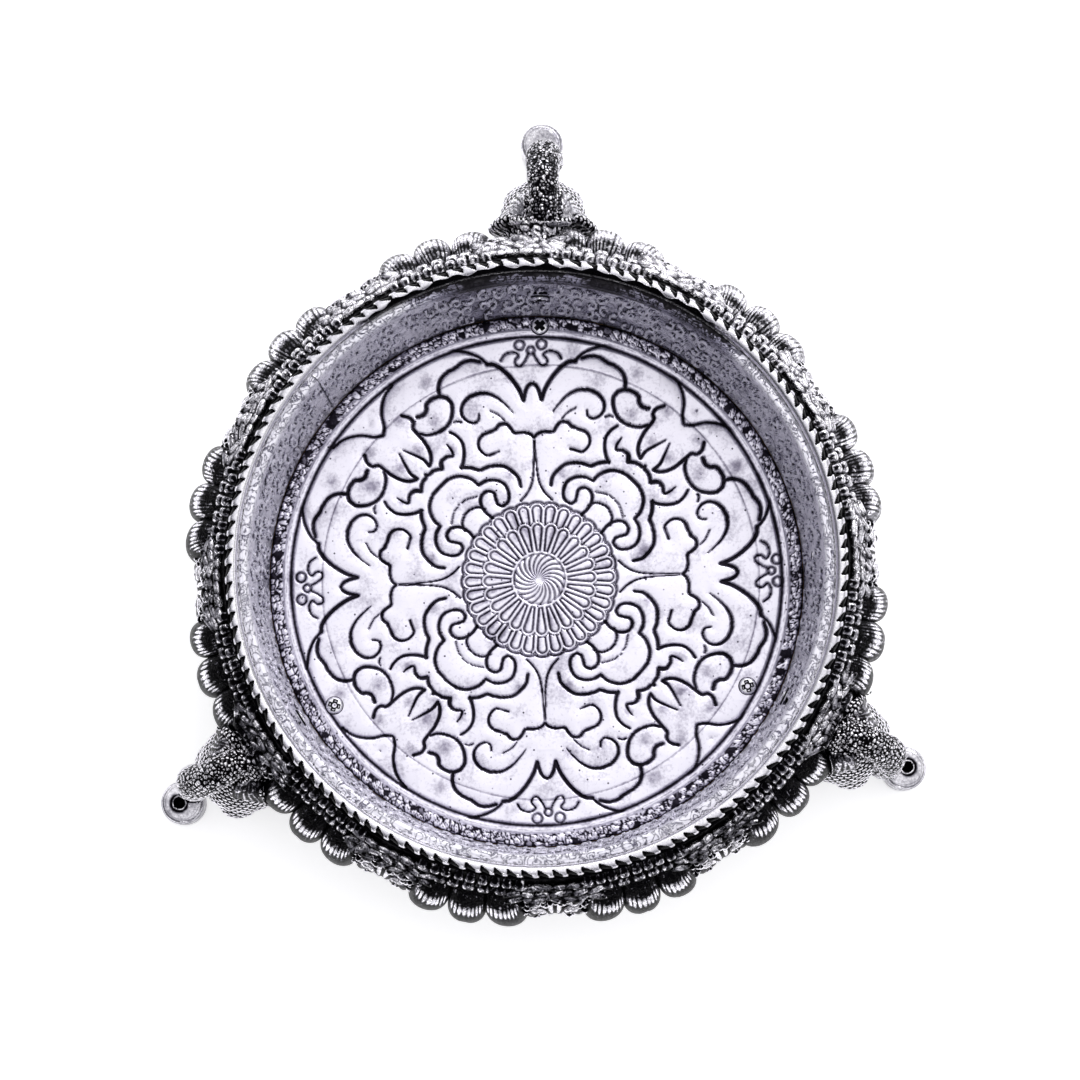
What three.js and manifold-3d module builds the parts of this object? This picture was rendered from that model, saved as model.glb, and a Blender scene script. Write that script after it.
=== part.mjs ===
// Urli bowl: a shallow round bowl of oxidised white metal. A thick cast wall carries lotus petals in
// relief and a rope rim. It is lined with an embossed sheet-metal hoop and an embossed floor sheet on a
// board, and stands on three cast elephant heads whose trunks arch outward and down to round feet.
// Millimetres, +Z up. The origin is the centre of the board's flat underside, on the bowl's axis.
import * as THREE from "three";
import { mergeVertices } from "three/addons/utils/BufferGeometryUtils.js";
import Module from "manifold-3d";

const wasm = await Module();
wasm.setup();

// Driving dimensions
const clearance = 0.3; // between pieces that touch
const wallHeight = 57; // cast wall, from its underside to its flat top
const bellySwell = 7.6; // ground of the relief at its fullest, out from the flat top's edge
const sectors = 12; // lotus clusters round the wall
const petalRise = 9; // petal's swell over the ground
const petalHalfWidth = 3.1; // degrees
const petalSpacing = 6; // degrees between the three petals of a cluster
const petalMiddle = 33; // height of a petal's middle
const petalHalfHeight = 17;
const leafRise = 4.6; // pointed leaf between two clusters
const leafHalfWidth = 4.6; // degrees
const leafMiddle = 34;
const leafHalfHeight = 15;

const sheet = 1; // hoop's and floor's metal
const hoopTopRadius = 96.4; // hoop's inside, under the lip
const hoopDraft = 3.2; // how much narrower the hoop is at the floor
const lipWidth = 3.4; // lip, out from the hoop's inside
const lipRise = 0.9; // lip's inner edge over the cast wall's top
const seamBearing = 136.6; // butt joint in the hoop
const seamGap = 0.5;
const pinHoleBearing = 119;
const pinHoleHeight = 35;
const pinHoleRadius = 0.8;

const ropeRadius = 2.1; // rope moulding's section
const ropeStrands = 128; // lobes round the rim
const ropeDepth = 0.5; // groove between two lobes
const ropeMargin = 0.3; // wall's flat top beyond the rope

const boardThickness = 8;
const borderWidth = 6.8; // plain border between the hoop and the medallion's field
const fieldRise = 0.8; // over the floor's plane
const fieldEdge = 1.4; // slope at the field's edges
const medallionShift = 1; // the sheet was pressed a little to one side
const medallionTurn = -0.9;
const lineWidth = 1.6; // pressed lines of the medallion
const rosetteRadius = 26.3;
const rosetteRise = 1.3; // over the floor's plane
const rosetteGroove = 0.7; // between two petals
const rosettePetals = 32;

const headRadius = 3.25; // cross-head screws
const headHeight = 1.9;
const shankRadius = 1.7;
const floorScrewLength = 15.5;
const wallScrewLength = 26;
const wallScrewHeight = 40;
const crossLength = 3.9;
const crossWidth = 1;
const crossDepth = 1.1;
const rivetRadius = 1.7;
const rivetBearing = 0.3;
const rivetHeight = 35;
const rivetFlange = 0.6;

const groundDrop = 10; // table below the board's underside
const seatDepth = 2.2; // flat seat for an elephant's neck, in from the wall's belly
const neckHalfWidth = 8;
const neckBottom = 22;
const neckTop = 46;
const headGap = 2; // head's back face, out from the neck's seat
const headOut = 8.5; // head's middle, out from the neck's seat
const headReach = 17; // brow, out from the head's middle
const headHalfWidth = 16;
const headTop = 39;
const headBottom = -7;
const earHalfWidth = 7.5;
const earHalfHeight = 13;
const earThickness = 3.2; // half of it
const earTurn = 20; // degrees, its outer edge forward
const trunkRadius = 5.2;
const trunkArch = 44; // top of the trunk's middle line
const trunkInset = 8; // trunk's upright stretch, in from the foot's centre
const footRadius = 7.7;
const footHeight = 13;
const footHollowRadius = 3.7;
const footHollowDepth = 6;
const tabThickness = 6.5;
const tabHalfWidth = 8;

// The three castings were made and screwed on by hand, so each has its own place. The back one is a little
// off its gap between two lotus clusters, so the petals hold it further out. Offset is its head's distance
// off the seat, reach its foot's distance out from the seat, sway its head's and bend its trunk's lower
// end's distance to one side, and fromHoop its floor screw's distance from the hoop's foot.
const elephants = [
  { place: "back", bearing: 86.2, offset: 5, reach: 46.2, sway: -0.8, bend: -1.3, fromHoop: 3.8 },
  { place: "left", bearing: 209, offset: 1, reach: 35.6, sway: 2.2, bend: -3, fromHoop: 10.4 },
  { place: "right", bearing: 329.9, offset: 0, reach: 34.1, sway: -2.2, bend: -1.8, fromHoop: 11 },
];

// Main lines pressed into the medallion, which repeats eight times, mirrored. Each is given between an
// axis and a diagonal, in hundredths of the field's radius.
const scrolls = [
  [[4, 73], [9, 83], [20, 90], [34, 86], [38, 76], [47, 68]],
  [[0, 58], [13, 63], [22, 57], [17, 52]],
  [[8, 68], [17, 76], [28, 73], [25, 65]],
  [[6, 38], [12, 46], [30, 47], [34, 61]],
  [[34, 76], [34, 65], [46, 61]],
  [[12, 31], [13, 40], [24, 39], [32, 43], [39, 39]],
];

// What follows from them
const hoopFootRadius = hoopTopRadius - hoopDraft; // inside, at the floor
const ropeInnerRadius = hoopTopRadius + lipWidth + clearance;
const wallTopRadius = ropeInnerRadius + 2 * ropeRadius + ropeMargin;
const seatRadius = wallTopRadius + bellySwell - seatDepth;
const fieldRadius = hoopFootRadius - borderWidth;

const radians = THREE.MathUtils.degToRad;
const floorBottom = boardThickness + clearance;
const floorTop = floorBottom + sheet;

// Materials
const metal = (name, color, roughness) =>
  new THREE.MeshStandardMaterial({ name, color, roughness, metalness: 1 });
const castMetal = metal("oxidised cast white metal", 0x8c8b92, 0.38);
const ropeMetal = metal("burnished rope", 0xd6d5dc, 0.28);
const hoopMetal = metal("dull embossed sheet", 0x8f8d9b, 0.5);
const floorMetal = metal("bright embossed sheet", 0xdedbe8, 0.32);
const steel = metal("bright zinc-plated steel", 0xd8d8dc, 0.3);
const wood = new THREE.MeshStandardMaterial({ name: "board", color: 0x8a6a48, roughness: 0.85 });

// A closed three.js geometry as a manifold-3d solid, and back
function solid(geometry) {
  const bare = geometry.index ? geometry.toNonIndexed() : geometry.clone();
  bare.deleteAttribute("normal");
  bare.deleteAttribute("uv");
  const merged = mergeVertices(bare, 1e-4);
  return new wasm.Manifold(
    new wasm.Mesh({
      numProp: 3,
      vertProperties: new Float32Array(merged.attributes.position.array),
      triVerts: new Uint32Array(merged.index.array),
    }),
  );
}

function geometryOf(manifold) {
  const { vertProperties, triVerts } = manifold.getMesh();
  const geometry = new THREE.BufferGeometry();
  geometry.setAttribute("position", new THREE.BufferAttribute(new Float32Array(vertProperties), 3));
  geometry.setIndex(new THREE.BufferAttribute(new Uint32Array(triVerts), 1));
  geometry.computeVertexNormals();
  return geometry;
}

const bowl = new THREE.Group();

function addPiece(name, body, material) {
  const piece = new THREE.Mesh(geometryOf(body), material);
  piece.name = name;
  bowl.add(piece);
}

// A solid turned about +Z from a profile of [radius, height], from the axis or its foot upwards
function turned(profile, segments) {
  const points = profile.map(([r, z]) => new THREE.Vector2(r, z));
  return solid(new THREE.LatheGeometry(points, segments).rotateX(Math.PI / 2));
}

// A solid through a row of like sections, each a closed loop of points. A ring of sections closes on
// itself. An open row is capped, from the flat outline that its sections share.
function loft(sections, capOutline) {
  const count = sections[0].length;
  const faces = [];
  const rows = capOutline ? sections.length - 1 : sections.length;
  for (let i = 0; i < rows; i++) {
    const next = (i + 1) % sections.length;
    for (let j = 0; j < count; j++) {
      const after = (j + 1) % count;
      const [a, b] = [i * count + j, next * count + j];
      const [c, d] = [next * count + after, i * count + after];
      faces.push(a, b, c, a, c, d);
    }
  }
  if (capOutline) {
    const last = (sections.length - 1) * count;
    for (const triangle of THREE.ShapeUtils.triangulateShape(capOutline, [])) {
      const [p, q, r] = triangle.map((k) => capOutline[k]);
      const turn = (q.x - p.x) * (r.y - p.y) - (q.y - p.y) * (r.x - p.x);
      const [a, b, c] = turn > 0 ? triangle : [...triangle].reverse();
      faces.push(a, b, c, last + c, last + b, last + a);
    }
  }
  const geometry = new THREE.BufferGeometry();
  const positions = sections.flat().flatMap((point) => point.toArray());
  geometry.setAttribute("position", new THREE.Float32BufferAttribute(positions, 3));
  geometry.setIndex(faces);
  return solid(geometry);
}

const polar = (radius, bearing, z) =>
  new THREE.Vector3(radius * Math.cos(radians(bearing)), radius * Math.sin(radians(bearing)), z);

// A turned tool for a bore, whose flats, not corners, touch its profile
function bored(profile, segments) {
  const outward = 1 / Math.cos(Math.PI / segments);
  return turned(profile.map(([r, z]) => [r * outward, z]), segments);
}

const circle = (count) =>
  Array.from({ length: count }, (_, k) => new THREE.Vector2(1, 0).rotateAround(
    new THREE.Vector2(), (2 * Math.PI * k) / count));

// A block or cylinder in an elephant's frame: x outward from the bowl's axis, y across, z up
function block(x0, x1, halfWidth, z0, z1) {
  const geometry = new THREE.BoxGeometry(x1 - x0, 2 * halfWidth, z1 - z0);
  return solid(geometry.translate((x0 + x1) / 2, 0, (z0 + z1) / 2));
}

const upright = (radius, z0, z1, segments) =>
  turned([[0, z0], [radius, z0], [radius, z1], [0, z1]], segments);

function turnTo(body, bearing) {
  return body.rotate([0, 0, bearing]);
}

const hoopRadiusAt = (z) =>
  THREE.MathUtils.mapLinear(z, floorTop, wallHeight, hoopFootRadius, hoopTopRadius);

// Ground of the wall's outer face: foot, full belly, drawn in under the rim, and the rope's bed. Shares of
// the belly's swell and of the wall's height.
const wallOutline = [
  [-0.54, 0],
  [0.6, 0.25],
  [0.91, 0.41],
  [1, 0.57],
  [0.8, 0.72],
  [0.18, 0.84],
  [0.32, 0.9],
  [0, 1],
].map(([swell, height]) => [wallTopRadius + swell * bellySwell, height * wallHeight]);

// Rise of the petals and leaves over the ground, at an angle from the middle of a lotus cluster
function relief(offset, z) {
  const swell = (x, halfWidth, middle, halfHeight) => {
    const inside = 1 - (x / halfWidth) ** 2 - ((z - middle) / halfHeight) ** 2;
    return Math.sqrt(Math.max(0, inside));
  };
  const petals = [-petalSpacing, 0, petalSpacing].map((middle) =>
    petalRise * swell(offset - middle, petalHalfWidth, petalMiddle, petalHalfHeight));
  const fromGap = 180 / sectors - Math.abs(offset);
  const leaf = leafRise * swell(fromGap, leafHalfWidth, leafMiddle, leafHalfHeight);
  return Math.max(...petals, leaf);
}

// The wall's outside, grown by a margin, round a solid middle
function wallBody(margin) {
  const offsets = [-9, -7.5, -6, -4.5, -3, -1.5, 0, 1.5, 3, 4.5, 6, 7.5, 9, 12, 15, 18];
  const sections = [];
  for (let k = 0; k < sectors; k++) {
    const middle = ((k + 0.5) * 360) / sectors;
    for (const offset of offsets) {
      const folded = offset > 180 / sectors ? offset - 360 / sectors : offset;
      const outer = wallOutline.map(([r, z]) => polar(r + relief(folded, z) + margin, middle + offset, z));
      sections.push([...outer, polar(0, 0, wallHeight), polar(0, 0, 0)]);
    }
  }
  return loft(sections);
}

function castWall() {
  const innerTop = hoopRadiusAt(wallHeight) + sheet + clearance;
  const innerFoot = hoopRadiusAt(floorTop) + sheet + clearance;
  const bore = bored(
    [
      [0, -1],
      [innerFoot, -1],
      [innerFoot, floorBottom],
      [innerTop, wallHeight],
      [innerTop, wallHeight + 1],
      [0, wallHeight + 1],
    ],
    60,
  );
  let wall = wallBody(0).subtract(bore);
  for (const { bearing } of elephants) {
    const seat = block(innerTop + clearance, seatRadius, neckHalfWidth + 1, neckBottom - 1, neckTop + 1);
    const room = block(seatRadius, 2 * seatRadius, neckHalfWidth + 0.5, -1, neckTop + 0.5);
    const hole = screwHole(wallScrewLength + 2);
    wall = wall.add(turnTo(seat, bearing)).subtract(turnTo(room, bearing)).subtract(turnTo(hole, bearing));
  }
  return wall;
}

function screwHole(length) {
  const start = hoopRadiusAt(wallScrewHeight) - 3;
  const bore = upright(shankRadius + clearance, 0, length + 3, 8);
  return bore.rotate([0, 90, 0]).translate([start, 0, wallScrewHeight]);
}

// The rope is a ring of slanted lobes, flat where it lies on the wall
function ropeRim() {
  const sides = 5;
  const middle = ropeInnerRadius + ropeRadius;
  const steps = 2 * ropeStrands;
  const sections = [];
  for (let i = 0; i < steps; i++) {
    const radius = ropeRadius - (i % 2) * ropeDepth;
    const section = [];
    for (let j = 0; j < sides; j++) {
      const around = radians(-55 + (290 * j) / (sides - 1));
      const lean = (0.5 * (j - (sides - 1) / 2) * 360) / (ropeStrands * (sides - 1));
      const across = j === 0 || j === sides - 1 ? ropeRadius - ropeDepth : radius;
      const z = wallHeight + clearance + ropeRadius * 0.82 + across * Math.sin(around);
      const height = j === 0 || j === sides - 1 ? wallHeight + clearance : z;
      section.push(polar(middle + across * Math.cos(around), (360 * i) / steps - lean, height));
    }
    sections.push(section);
  }
  return loft(sections);
}

// The lining: a nearly upright band with a lip rolled out over the cast wall's top
function innerHoop() {
  const foot = floorBottom;
  const top = wallHeight + lipRise;
  const lipOuter = hoopTopRadius + lipWidth;
  const outline = [
    [hoopRadiusAt(foot), foot],
    [hoopRadiusAt(foot) + sheet, foot],
    [hoopTopRadius + sheet, wallHeight + clearance],
    [lipOuter, wallHeight + clearance],
    [lipOuter, top],
    [hoopTopRadius + lipWidth / 2, top + clearance],
    [hoopTopRadius, wallHeight + clearance],
  ].map(([r, z]) => new THREE.Vector2(r, z));
  const half = THREE.MathUtils.radToDeg(seamGap / hoopTopRadius / 2);
  const steps = 48;
  const sections = Array.from({ length: steps + 1 }, (_, i) => {
    const bearing = seamBearing + half + ((360 - 2 * half) * i) / steps;
    return outline.map(({ x, y }) => polar(x, bearing, y));
  });
  let hoop = loft(sections, outline);
  const pierce = (radius, bearing, z) => {
    const bore = upright(radius, -6, 6, 10).rotate([0, 90, 0]);
    return turnTo(bore.translate([hoopRadiusAt(z), 0, z]), bearing);
  };
  hoop = hoop.subtract(pierce(pinHoleRadius, pinHoleBearing, pinHoleHeight));
  hoop = hoop.subtract(pierce(rivetRadius - rivetFlange + clearance / 2, rivetBearing, rivetHeight));
  for (const { bearing } of elephants)
    hoop = hoop.subtract(pierce(shankRadius + clearance, bearing, wallScrewHeight));
  return hoop;
}

// Plan of a pressed line: a ribbon along its points, mitred at each
function ribbon(points) {
  const sides = points.map((point, k) => {
    const before = points[Math.max(k - 1, 0)];
    const after = points[Math.min(k + 1, points.length - 1)];
    const across = new THREE.Vector2(before.y - after.y, after.x - before.x).setLength(lineWidth / 2);
    return [point.clone().add(across), point.clone().sub(across)];
  });
  const loop = [...sides.map(([left]) => left), ...sides.map(([, right]) => right).reverse()];
  return wasm.CrossSection.ofPolygons([loop.map((point) => point.toArray())], "NonZero");
}

// The medallion's pressed lines, each in its eight places
function pressedLines() {
  const centre = new THREE.Vector2();
  const plans = [];
  for (const scroll of scrolls) {
    for (let quarter = 0; quarter < 4; quarter++) {
      for (const mirrored of [false, true]) {
        const points = scroll.map(([x, y]) => {
          const place = mirrored ? new THREE.Vector2(y, x) : new THREE.Vector2(x, y);
          return place.multiplyScalar(fieldRadius / 100).rotateAround(centre, (quarter * Math.PI) / 2);
        });
        plans.push(ribbon(points));
      }
    }
  }
  return wasm.CrossSection.union(plans).extrude(2 * fieldRise);
}

// The rosette: a ribbed hub and petals whose ends scallop its edge
function rosette() {
  const sections = Array.from({ length: 2 * rosettePetals }, (_, i) => {
    const bearing = (180 * i) / rosettePetals;
    const groove = (i % 2) * rosetteGroove;
    return [
      polar(rosetteRadius - groove, bearing, floorTop),
      polar(rosetteRadius - sheet - groove, bearing, floorTop + rosetteRise - groove),
      polar(rosetteRadius * 0.74, bearing, floorTop + rosetteRise * 0.8 - groove),
      polar(rosetteRadius * 0.32, bearing, floorTop + rosetteRise - groove),
      polar(0, bearing, floorTop + rosetteRise),
      polar(0, bearing, floorTop),
    ];
  });
  return loft(sections);
}

// The floor: a sheet pressed up into a medallion's field with a rosette in its middle
function floorSheet() {
  const edge = hoopFootRadius - clearance;
  const field = floorTop + fieldRise;
  const bed = floorTop + clearance / 3;
  const plain = turned(
    [
      [0, floorBottom],
      [edge, floorBottom],
      [edge, floorTop],
      [fieldRadius + fieldEdge, floorTop + fieldRise / 2],
      [fieldRadius + fieldEdge / 2, floorTop],
      [fieldRadius - fieldEdge / 2, field],
      [0, field],
    ],
    60,
  );
  const moat = upright(rosetteRadius + fieldEdge / 2, bed, field + 1, 60);
  const pressed = pressedLines().translate([0, 0, bed]).add(moat);
  const laid = (body) => turnTo(body, medallionTurn).translate([medallionShift, 0, 0]);
  let floor = plain.subtract(laid(pressed)).add(laid(rosette()));
  for (const { bearing, fromHoop } of elephants) {
    const place = [hoopFootRadius - fromHoop, 0, 0];
    const hole = upright(shankRadius + clearance, 0, wallHeight, 8);
    floor = floor.subtract(turnTo(hole.translate(place), bearing));
    // A flat seat under the screw's head
    const seat = upright(headRadius + clearance, floorTop, wallHeight, 16);
    floor = floor.subtract(turnTo(seat.translate(place), bearing));
  }
  return floor;
}

function baseBoard() {
  let board = upright(hoopFootRadius + sheet, 0, boardThickness, 48);
  for (const { bearing, fromHoop } of elephants) {
    const hole = upright(shankRadius + clearance, -1, boardThickness + 1, 8);
    board = board.subtract(turnTo(hole.translate([hoopFootRadius - fromHoop, 0, 0]), bearing));
  }
  return board;
}

// A pan-head screw with its head's seat at z = 0 and its point downwards
function screw(length) {
  const point = 3;
  let body = turned(
    [
      [0, -length],
      [shankRadius, -length + point],
      [shankRadius, 0],
      [headRadius, 0],
      [headRadius, headHeight * 0.4],
      [headRadius * 0.72, headHeight * 0.85],
      [0, headHeight],
    ],
    9,
  );
  for (const quarter of [0, 90]) {
    const slot = new THREE.BoxGeometry(crossLength, crossWidth, 2 * crossDepth).translate(0, 0, headHeight);
    body = body.subtract(solid(slot).rotate([0, 0, quarter]));
  }
  return body;
}

function floorScrew({ bearing, fromHoop }) {
  const seat = [hoopFootRadius - fromHoop, 0, floorTop + clearance];
  return turnTo(screw(floorScrewLength).rotate([0, 0, 20]).translate(seat), bearing);
}

function wallScrew({ bearing }) {
  const draft = THREE.MathUtils.radToDeg(
    Math.atan((hoopTopRadius - hoopFootRadius) / (wallHeight - floorTop)));
  const seat = hoopRadiusAt(wallScrewHeight) - clearance;
  const laid = screw(wallScrewLength).rotate([0, -90, 0]);
  return turnTo(laid.translate([seat - headRadius * Math.tan(radians(draft)), 0, wallScrewHeight]), bearing);
}

function hoopRivet() {
  const hub = rivetRadius - rivetFlange;
  const tube = turned(
    [
      [0.5, -sheet],
      [hub, -sheet],
      [hub, clearance],
      [rivetRadius, clearance],
      [rivetRadius, clearance + rivetFlange * 0.6],
      [hub, clearance + rivetFlange],
      [0.5, clearance + rivetFlange],
      [0.5, -sheet],
    ],
    12,
  );
  const place = [hoopRadiusAt(rivetHeight), 0, rivetHeight];
  return turnTo(tube.rotate([0, -90, 0]).translate(place), rivetBearing);
}

// A ball with its poles along +Z, stretched to three half-sizes about its middle
function egg(middle, halfSizes, segments, rings) {
  const ball = new THREE.SphereGeometry(1, segments, rings).rotateX(Math.PI / 2).scale(...halfSizes);
  return solid(ball).translate(middle);
}

// A tapering round limb along points of [x, y, z, radius]
function limb(points, sides, steps) {
  const path = new THREE.CatmullRomCurve3(points.map(([x, y, z]) => new THREE.Vector3(x, y, z)));
  const swell = new THREE.CatmullRomCurve3(points.map(([, , , r], k) => new THREE.Vector3(k, r, 0)));
  const outline = circle(sides);
  const side = new THREE.Vector3(0, 1, 0);
  const sections = Array.from({ length: steps + 1 }, (_, i) => {
    const t = i / steps;
    const middle = path.getPoint(t);
    const ahead = path.getTangent(t);
    const across = side.clone().addScaledVector(ahead, -side.dot(ahead)).normalize();
    const third = new THREE.Vector3().crossVectors(ahead, across);
    const radius = swell.getPoint(t).y;
    return outline.map(({ x, y }) =>
      middle.clone().addScaledVector(across, radius * x).addScaledVector(third, -radius * y));
  });
  return loft(sections, outline);
}

// The trunk rises out of the brow, arches over and comes down inside the foot's edge
function trunk({ offset, reach, sway, bend }) {
  const foot = seatRadius + reach;
  const footTop = footHeight - groundDrop;
  const root = seatRadius + offset + headGap + trunkRadius / 3;
  const shoulder = foot - 1.2 * trunkInset;
  const outward = (share) => THREE.MathUtils.lerp(root, shoulder, share);
  const inFrom = (share) => foot - share * trunkInset;
  const above = (share) => footTop + share * (trunkArch - footTop);
  return limb(
    [
      [outward(0), sway, above(0.9), 0.92],
      [outward(0.35), 0.8 * sway, above(1), 0.96],
      [outward(0.72), 0.5 * sway, above(0.93), 1.02],
      [shoulder, 0.3 * bend, above(0.7), 1.12],
      [inFrom(1.03), 0.7 * bend, above(0.4), 1.2],
      [inFrom(0.93), bend, above(0.12), 1.25],
      [inFrom(0.75), 0.8 * bend, above(-0.07), 1.04],
      [inFrom(0.55), 0.5 * bend, above(-0.2), 0.88],
    ].map(([x, y, z, swell]) => [x, y, z, swell * trunkRadius]),
    8,
    10,
  );
}

// A round foot on the trunk's end, open above
function foot({ reach }) {
  const ground = -groundDrop;
  const top = ground + footHeight;
  const rim = (footRadius + footHollowRadius) / 2;
  const cup = turned(
    [
      [0, ground],
      [footRadius - clearance * 3, ground],
      [footRadius, ground + footRadius / 5],
      [footRadius, top - footRadius / 3],
      [footRadius - clearance * 3, top - footRadius / 12],
      [rim, top],
      [footHollowRadius, top - footRadius / 9],
      [footHollowRadius - clearance * 3, top - footHollowDepth],
      [0, top - footHollowDepth],
    ],
    14,
  );
  return cup.translate([seatRadius + reach, 0, 0]);
}

// Head, ears, trunk and foot in one casting, its back cast to the wall's relief, with a neck to the wall
// and a tab under the board
function elephant(setting) {
  const { bearing, offset, reach, sway, fromHoop } = setting;
  const ground = -groundDrop;
  const face = seatRadius + offset + headGap;
  const middle = seatRadius + offset + headOut;
  const halfHeight = (headTop - headBottom) / 2;
  let head = egg([middle, sway, headBottom + halfHeight], [headReach, headHalfWidth, halfHeight], 12, 9);
  for (const side of [-1, 1]) {
    const ear = egg([0, 0, 0], [earThickness, earHalfWidth, earHalfHeight], 7, 5);
    const aside = sway + side * (headHalfWidth - earHalfWidth / 2);
    const place = [face + earThickness + headGap, aside, headTop - earHalfHeight];
    head = head.add(ear.rotate([0, 0, side * earTurn]).translate(place));
  }
  head = head.subtract(block(0, face, 2 * headHalfWidth, -wallHeight, wallHeight));
  let casting = turnTo(head.add(trunk(setting)), bearing).subtract(wallBody(clearance));

  const neckLength = headGap + offset + trunkRadius;
  const neckStart = seatRadius + clearance;
  const neck = block(neckStart, seatRadius + neckLength, neckHalfWidth, neckBottom, wallScrewHeight);
  const boss = upright(neckTop - wallScrewHeight, clearance, neckLength, 12)
    .rotate([0, 90, 0])
    .translate([seatRadius, 0, wallScrewHeight]);
  const drilled = hoopFootRadius - fromHoop;
  const tabEnd = upright(tabHalfWidth, -tabThickness, -clearance, 16).translate([drilled, 0, 0]);
  const tab = block(drilled, face + headOut, tabHalfWidth, -tabThickness, -clearance);
  const fittings = neck.add(boss).add(tab).add(tabEnd).add(foot(setting));
  casting = casting.add(turnTo(fittings, bearing));

  // Filed flat on the table, and drilled for both screws
  const below = block(0, seatRadius + 2 * reach, 3 * headHalfWidth, 3 * ground, ground);
  const hole = upright(shankRadius + clearance, -tabThickness - 1, 1, 8).translate([drilled, 0, 0]);
  return casting.subtract(turnTo(below.add(screwHole(wallScrewLength)).add(hole), bearing));
}

addPiece("cast_wall", castWall(), castMetal);
addPiece("rope_rim", ropeRim(), ropeMetal);
addPiece("inner_hoop", innerHoop(), hoopMetal);
addPiece("floor_sheet", floorSheet(), floorMetal);
addPiece("base_board", baseBoard(), wood);
addPiece("hoop_rivet", hoopRivet(), steel);
for (const setting of elephants) {
  addPiece("elephant_" + setting.place, elephant(setting), castMetal);
  addPiece("floor_screw_" + setting.place, floorScrew(setting), steel);
  addPiece("wall_screw_" + setting.place, wallScrew(setting), steel);
}

export default bowl;
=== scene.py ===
"""Looks of an urli bowl of oxidised white metal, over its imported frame.

A cast wall with lotus relief, a twisted rope rim, an embossed hoop and floor, and three elephant heads
whose trunks are the legs. Lengths are in millimetres until a mesh is made, and bearings in degrees
anticlockwise from +X. The fine relief is worked into dense meshes that keep to the frame's solids.
"""

import math
from collections import namedtuple

import bpy
import numpy as np
from mathutils import Matrix, Vector


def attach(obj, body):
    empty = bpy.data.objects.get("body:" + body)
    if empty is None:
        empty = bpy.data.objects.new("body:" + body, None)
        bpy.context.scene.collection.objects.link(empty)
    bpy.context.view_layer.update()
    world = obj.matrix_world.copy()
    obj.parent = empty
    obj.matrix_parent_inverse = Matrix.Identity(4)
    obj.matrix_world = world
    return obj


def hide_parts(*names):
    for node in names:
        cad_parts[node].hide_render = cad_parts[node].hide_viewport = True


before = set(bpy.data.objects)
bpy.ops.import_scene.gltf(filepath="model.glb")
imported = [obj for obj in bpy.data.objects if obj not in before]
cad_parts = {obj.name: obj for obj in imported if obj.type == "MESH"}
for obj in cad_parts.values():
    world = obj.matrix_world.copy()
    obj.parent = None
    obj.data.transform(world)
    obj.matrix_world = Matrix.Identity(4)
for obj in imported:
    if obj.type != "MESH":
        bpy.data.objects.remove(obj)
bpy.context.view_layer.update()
bpy.context.scene.view_settings.view_transform = "Standard"

METRE = 0.001
TABLE = -10.0  # under the three feet
FLOOR_BOTTOM = 8.3
FLOOR_TOP = 9.3
WALL_TOP = 57.0
HOOP_FOOT_RADIUS = 93.2
HOOP_TOP_RADIUS = 96.4
HOOP_MIDDLE = 95.0  # for distances round the hoop's band
SHEET = 1.0
CLEARANCE = 0.3
ROPE_INSIDE = 100.1
ROPE_RADIUS = 2.1
ROPE_STRANDS = 128
SECTORS = 12
SEAM_BEARING = 136.6
SEAM_GAP = 0.2
PIN_HOLE_BEARING = 119.0
RIVET_BEARING = 0.3
HOLE_HEIGHT = 35.0
WALL_SCREW_HEIGHT = 40.0

# The castings differ: offset is a head's distance off its seat, reach its foot's distance out from the seat,
# sway and bend how far its head and the trunk's lower end lean to one side, screw the radius of its floor
# screw, and hollow the place of the foot's hollow, out and aside from its centre
SEAT_RADIUS = 110.0
Casting = namedtuple("Casting", "bearing offset reach sway bend screw hollow")
ELEPHANTS = {
    "back": Casting(86.2, 5.0, 46.2, -0.8, -1.3, 89.4, (-5.6, -1.0)),
    "left": Casting(209.0, 1.0, 35.6, 2.2, -3.0, 82.8, (0.9, -0.4)),
    "right": Casting(329.9, 0.0, 34.1, -2.2, -1.8, 82.2, (0.5, 0.7)),
}

# Radius and height of the cast wall's ground, under its relief
WALL_GROUND = (
    (100.5, 0.0),
    (104.8, 7.0),
    (109.2, 14.3),
    (111.5, 23.4),
    (112.2, 32.5),
    (110.7, 41.0),
    (107.6, 45.6),
    (106.0, 48.2),
    (106.6, 51.3),
    (105.9, 54.2),
    (104.6, 57.0),
)


def grid_quads(rows, columns, wrap_rows=False, wrap_columns=True):
    """Quads of points laid row by row, with columns anticlockwise and rows upwards."""
    row, column = np.mgrid[0 : rows - 1 + wrap_rows, 0 : columns - 1 + wrap_columns]
    here = row * columns
    above = (row + 1) % rows * columns
    after = (column + 1) % columns
    corners = (here + column, here + after, above + after, above + column)
    return np.stack([corner.ravel() for corner in corners], 1)


NO_TRIANGLES = np.zeros((0, 3), int)


def ball_faces(rows, columns):
    """Quads and triangles of a closed shell: a pole, rings of points from it upwards, and a pole."""
    around = np.arange(columns)
    after = (around + 1) % columns
    top = 1 + rows * columns
    below = np.stack([np.zeros(columns, int), 1 + after, 1 + around], 1)
    above = np.stack([np.full(columns, top), top - columns + around, top - columns + after], 1)
    return grid_quads(rows, columns) + 1, np.concatenate([below, above])


def ball_angles(rows, columns):
    """Latitude and longitude of the points of ball_faces, in radians."""
    latitude = np.linspace(-0.5, 0.5, rows + 2) * np.pi
    longitude = np.arange(columns) * 2 * np.pi / columns
    levels = np.concatenate([latitude[:1], np.repeat(latitude[1:-1], columns), latitude[-1:]])
    turns = np.concatenate([[0], np.tile(longitude, rows), [0]])
    return levels, turns


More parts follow.
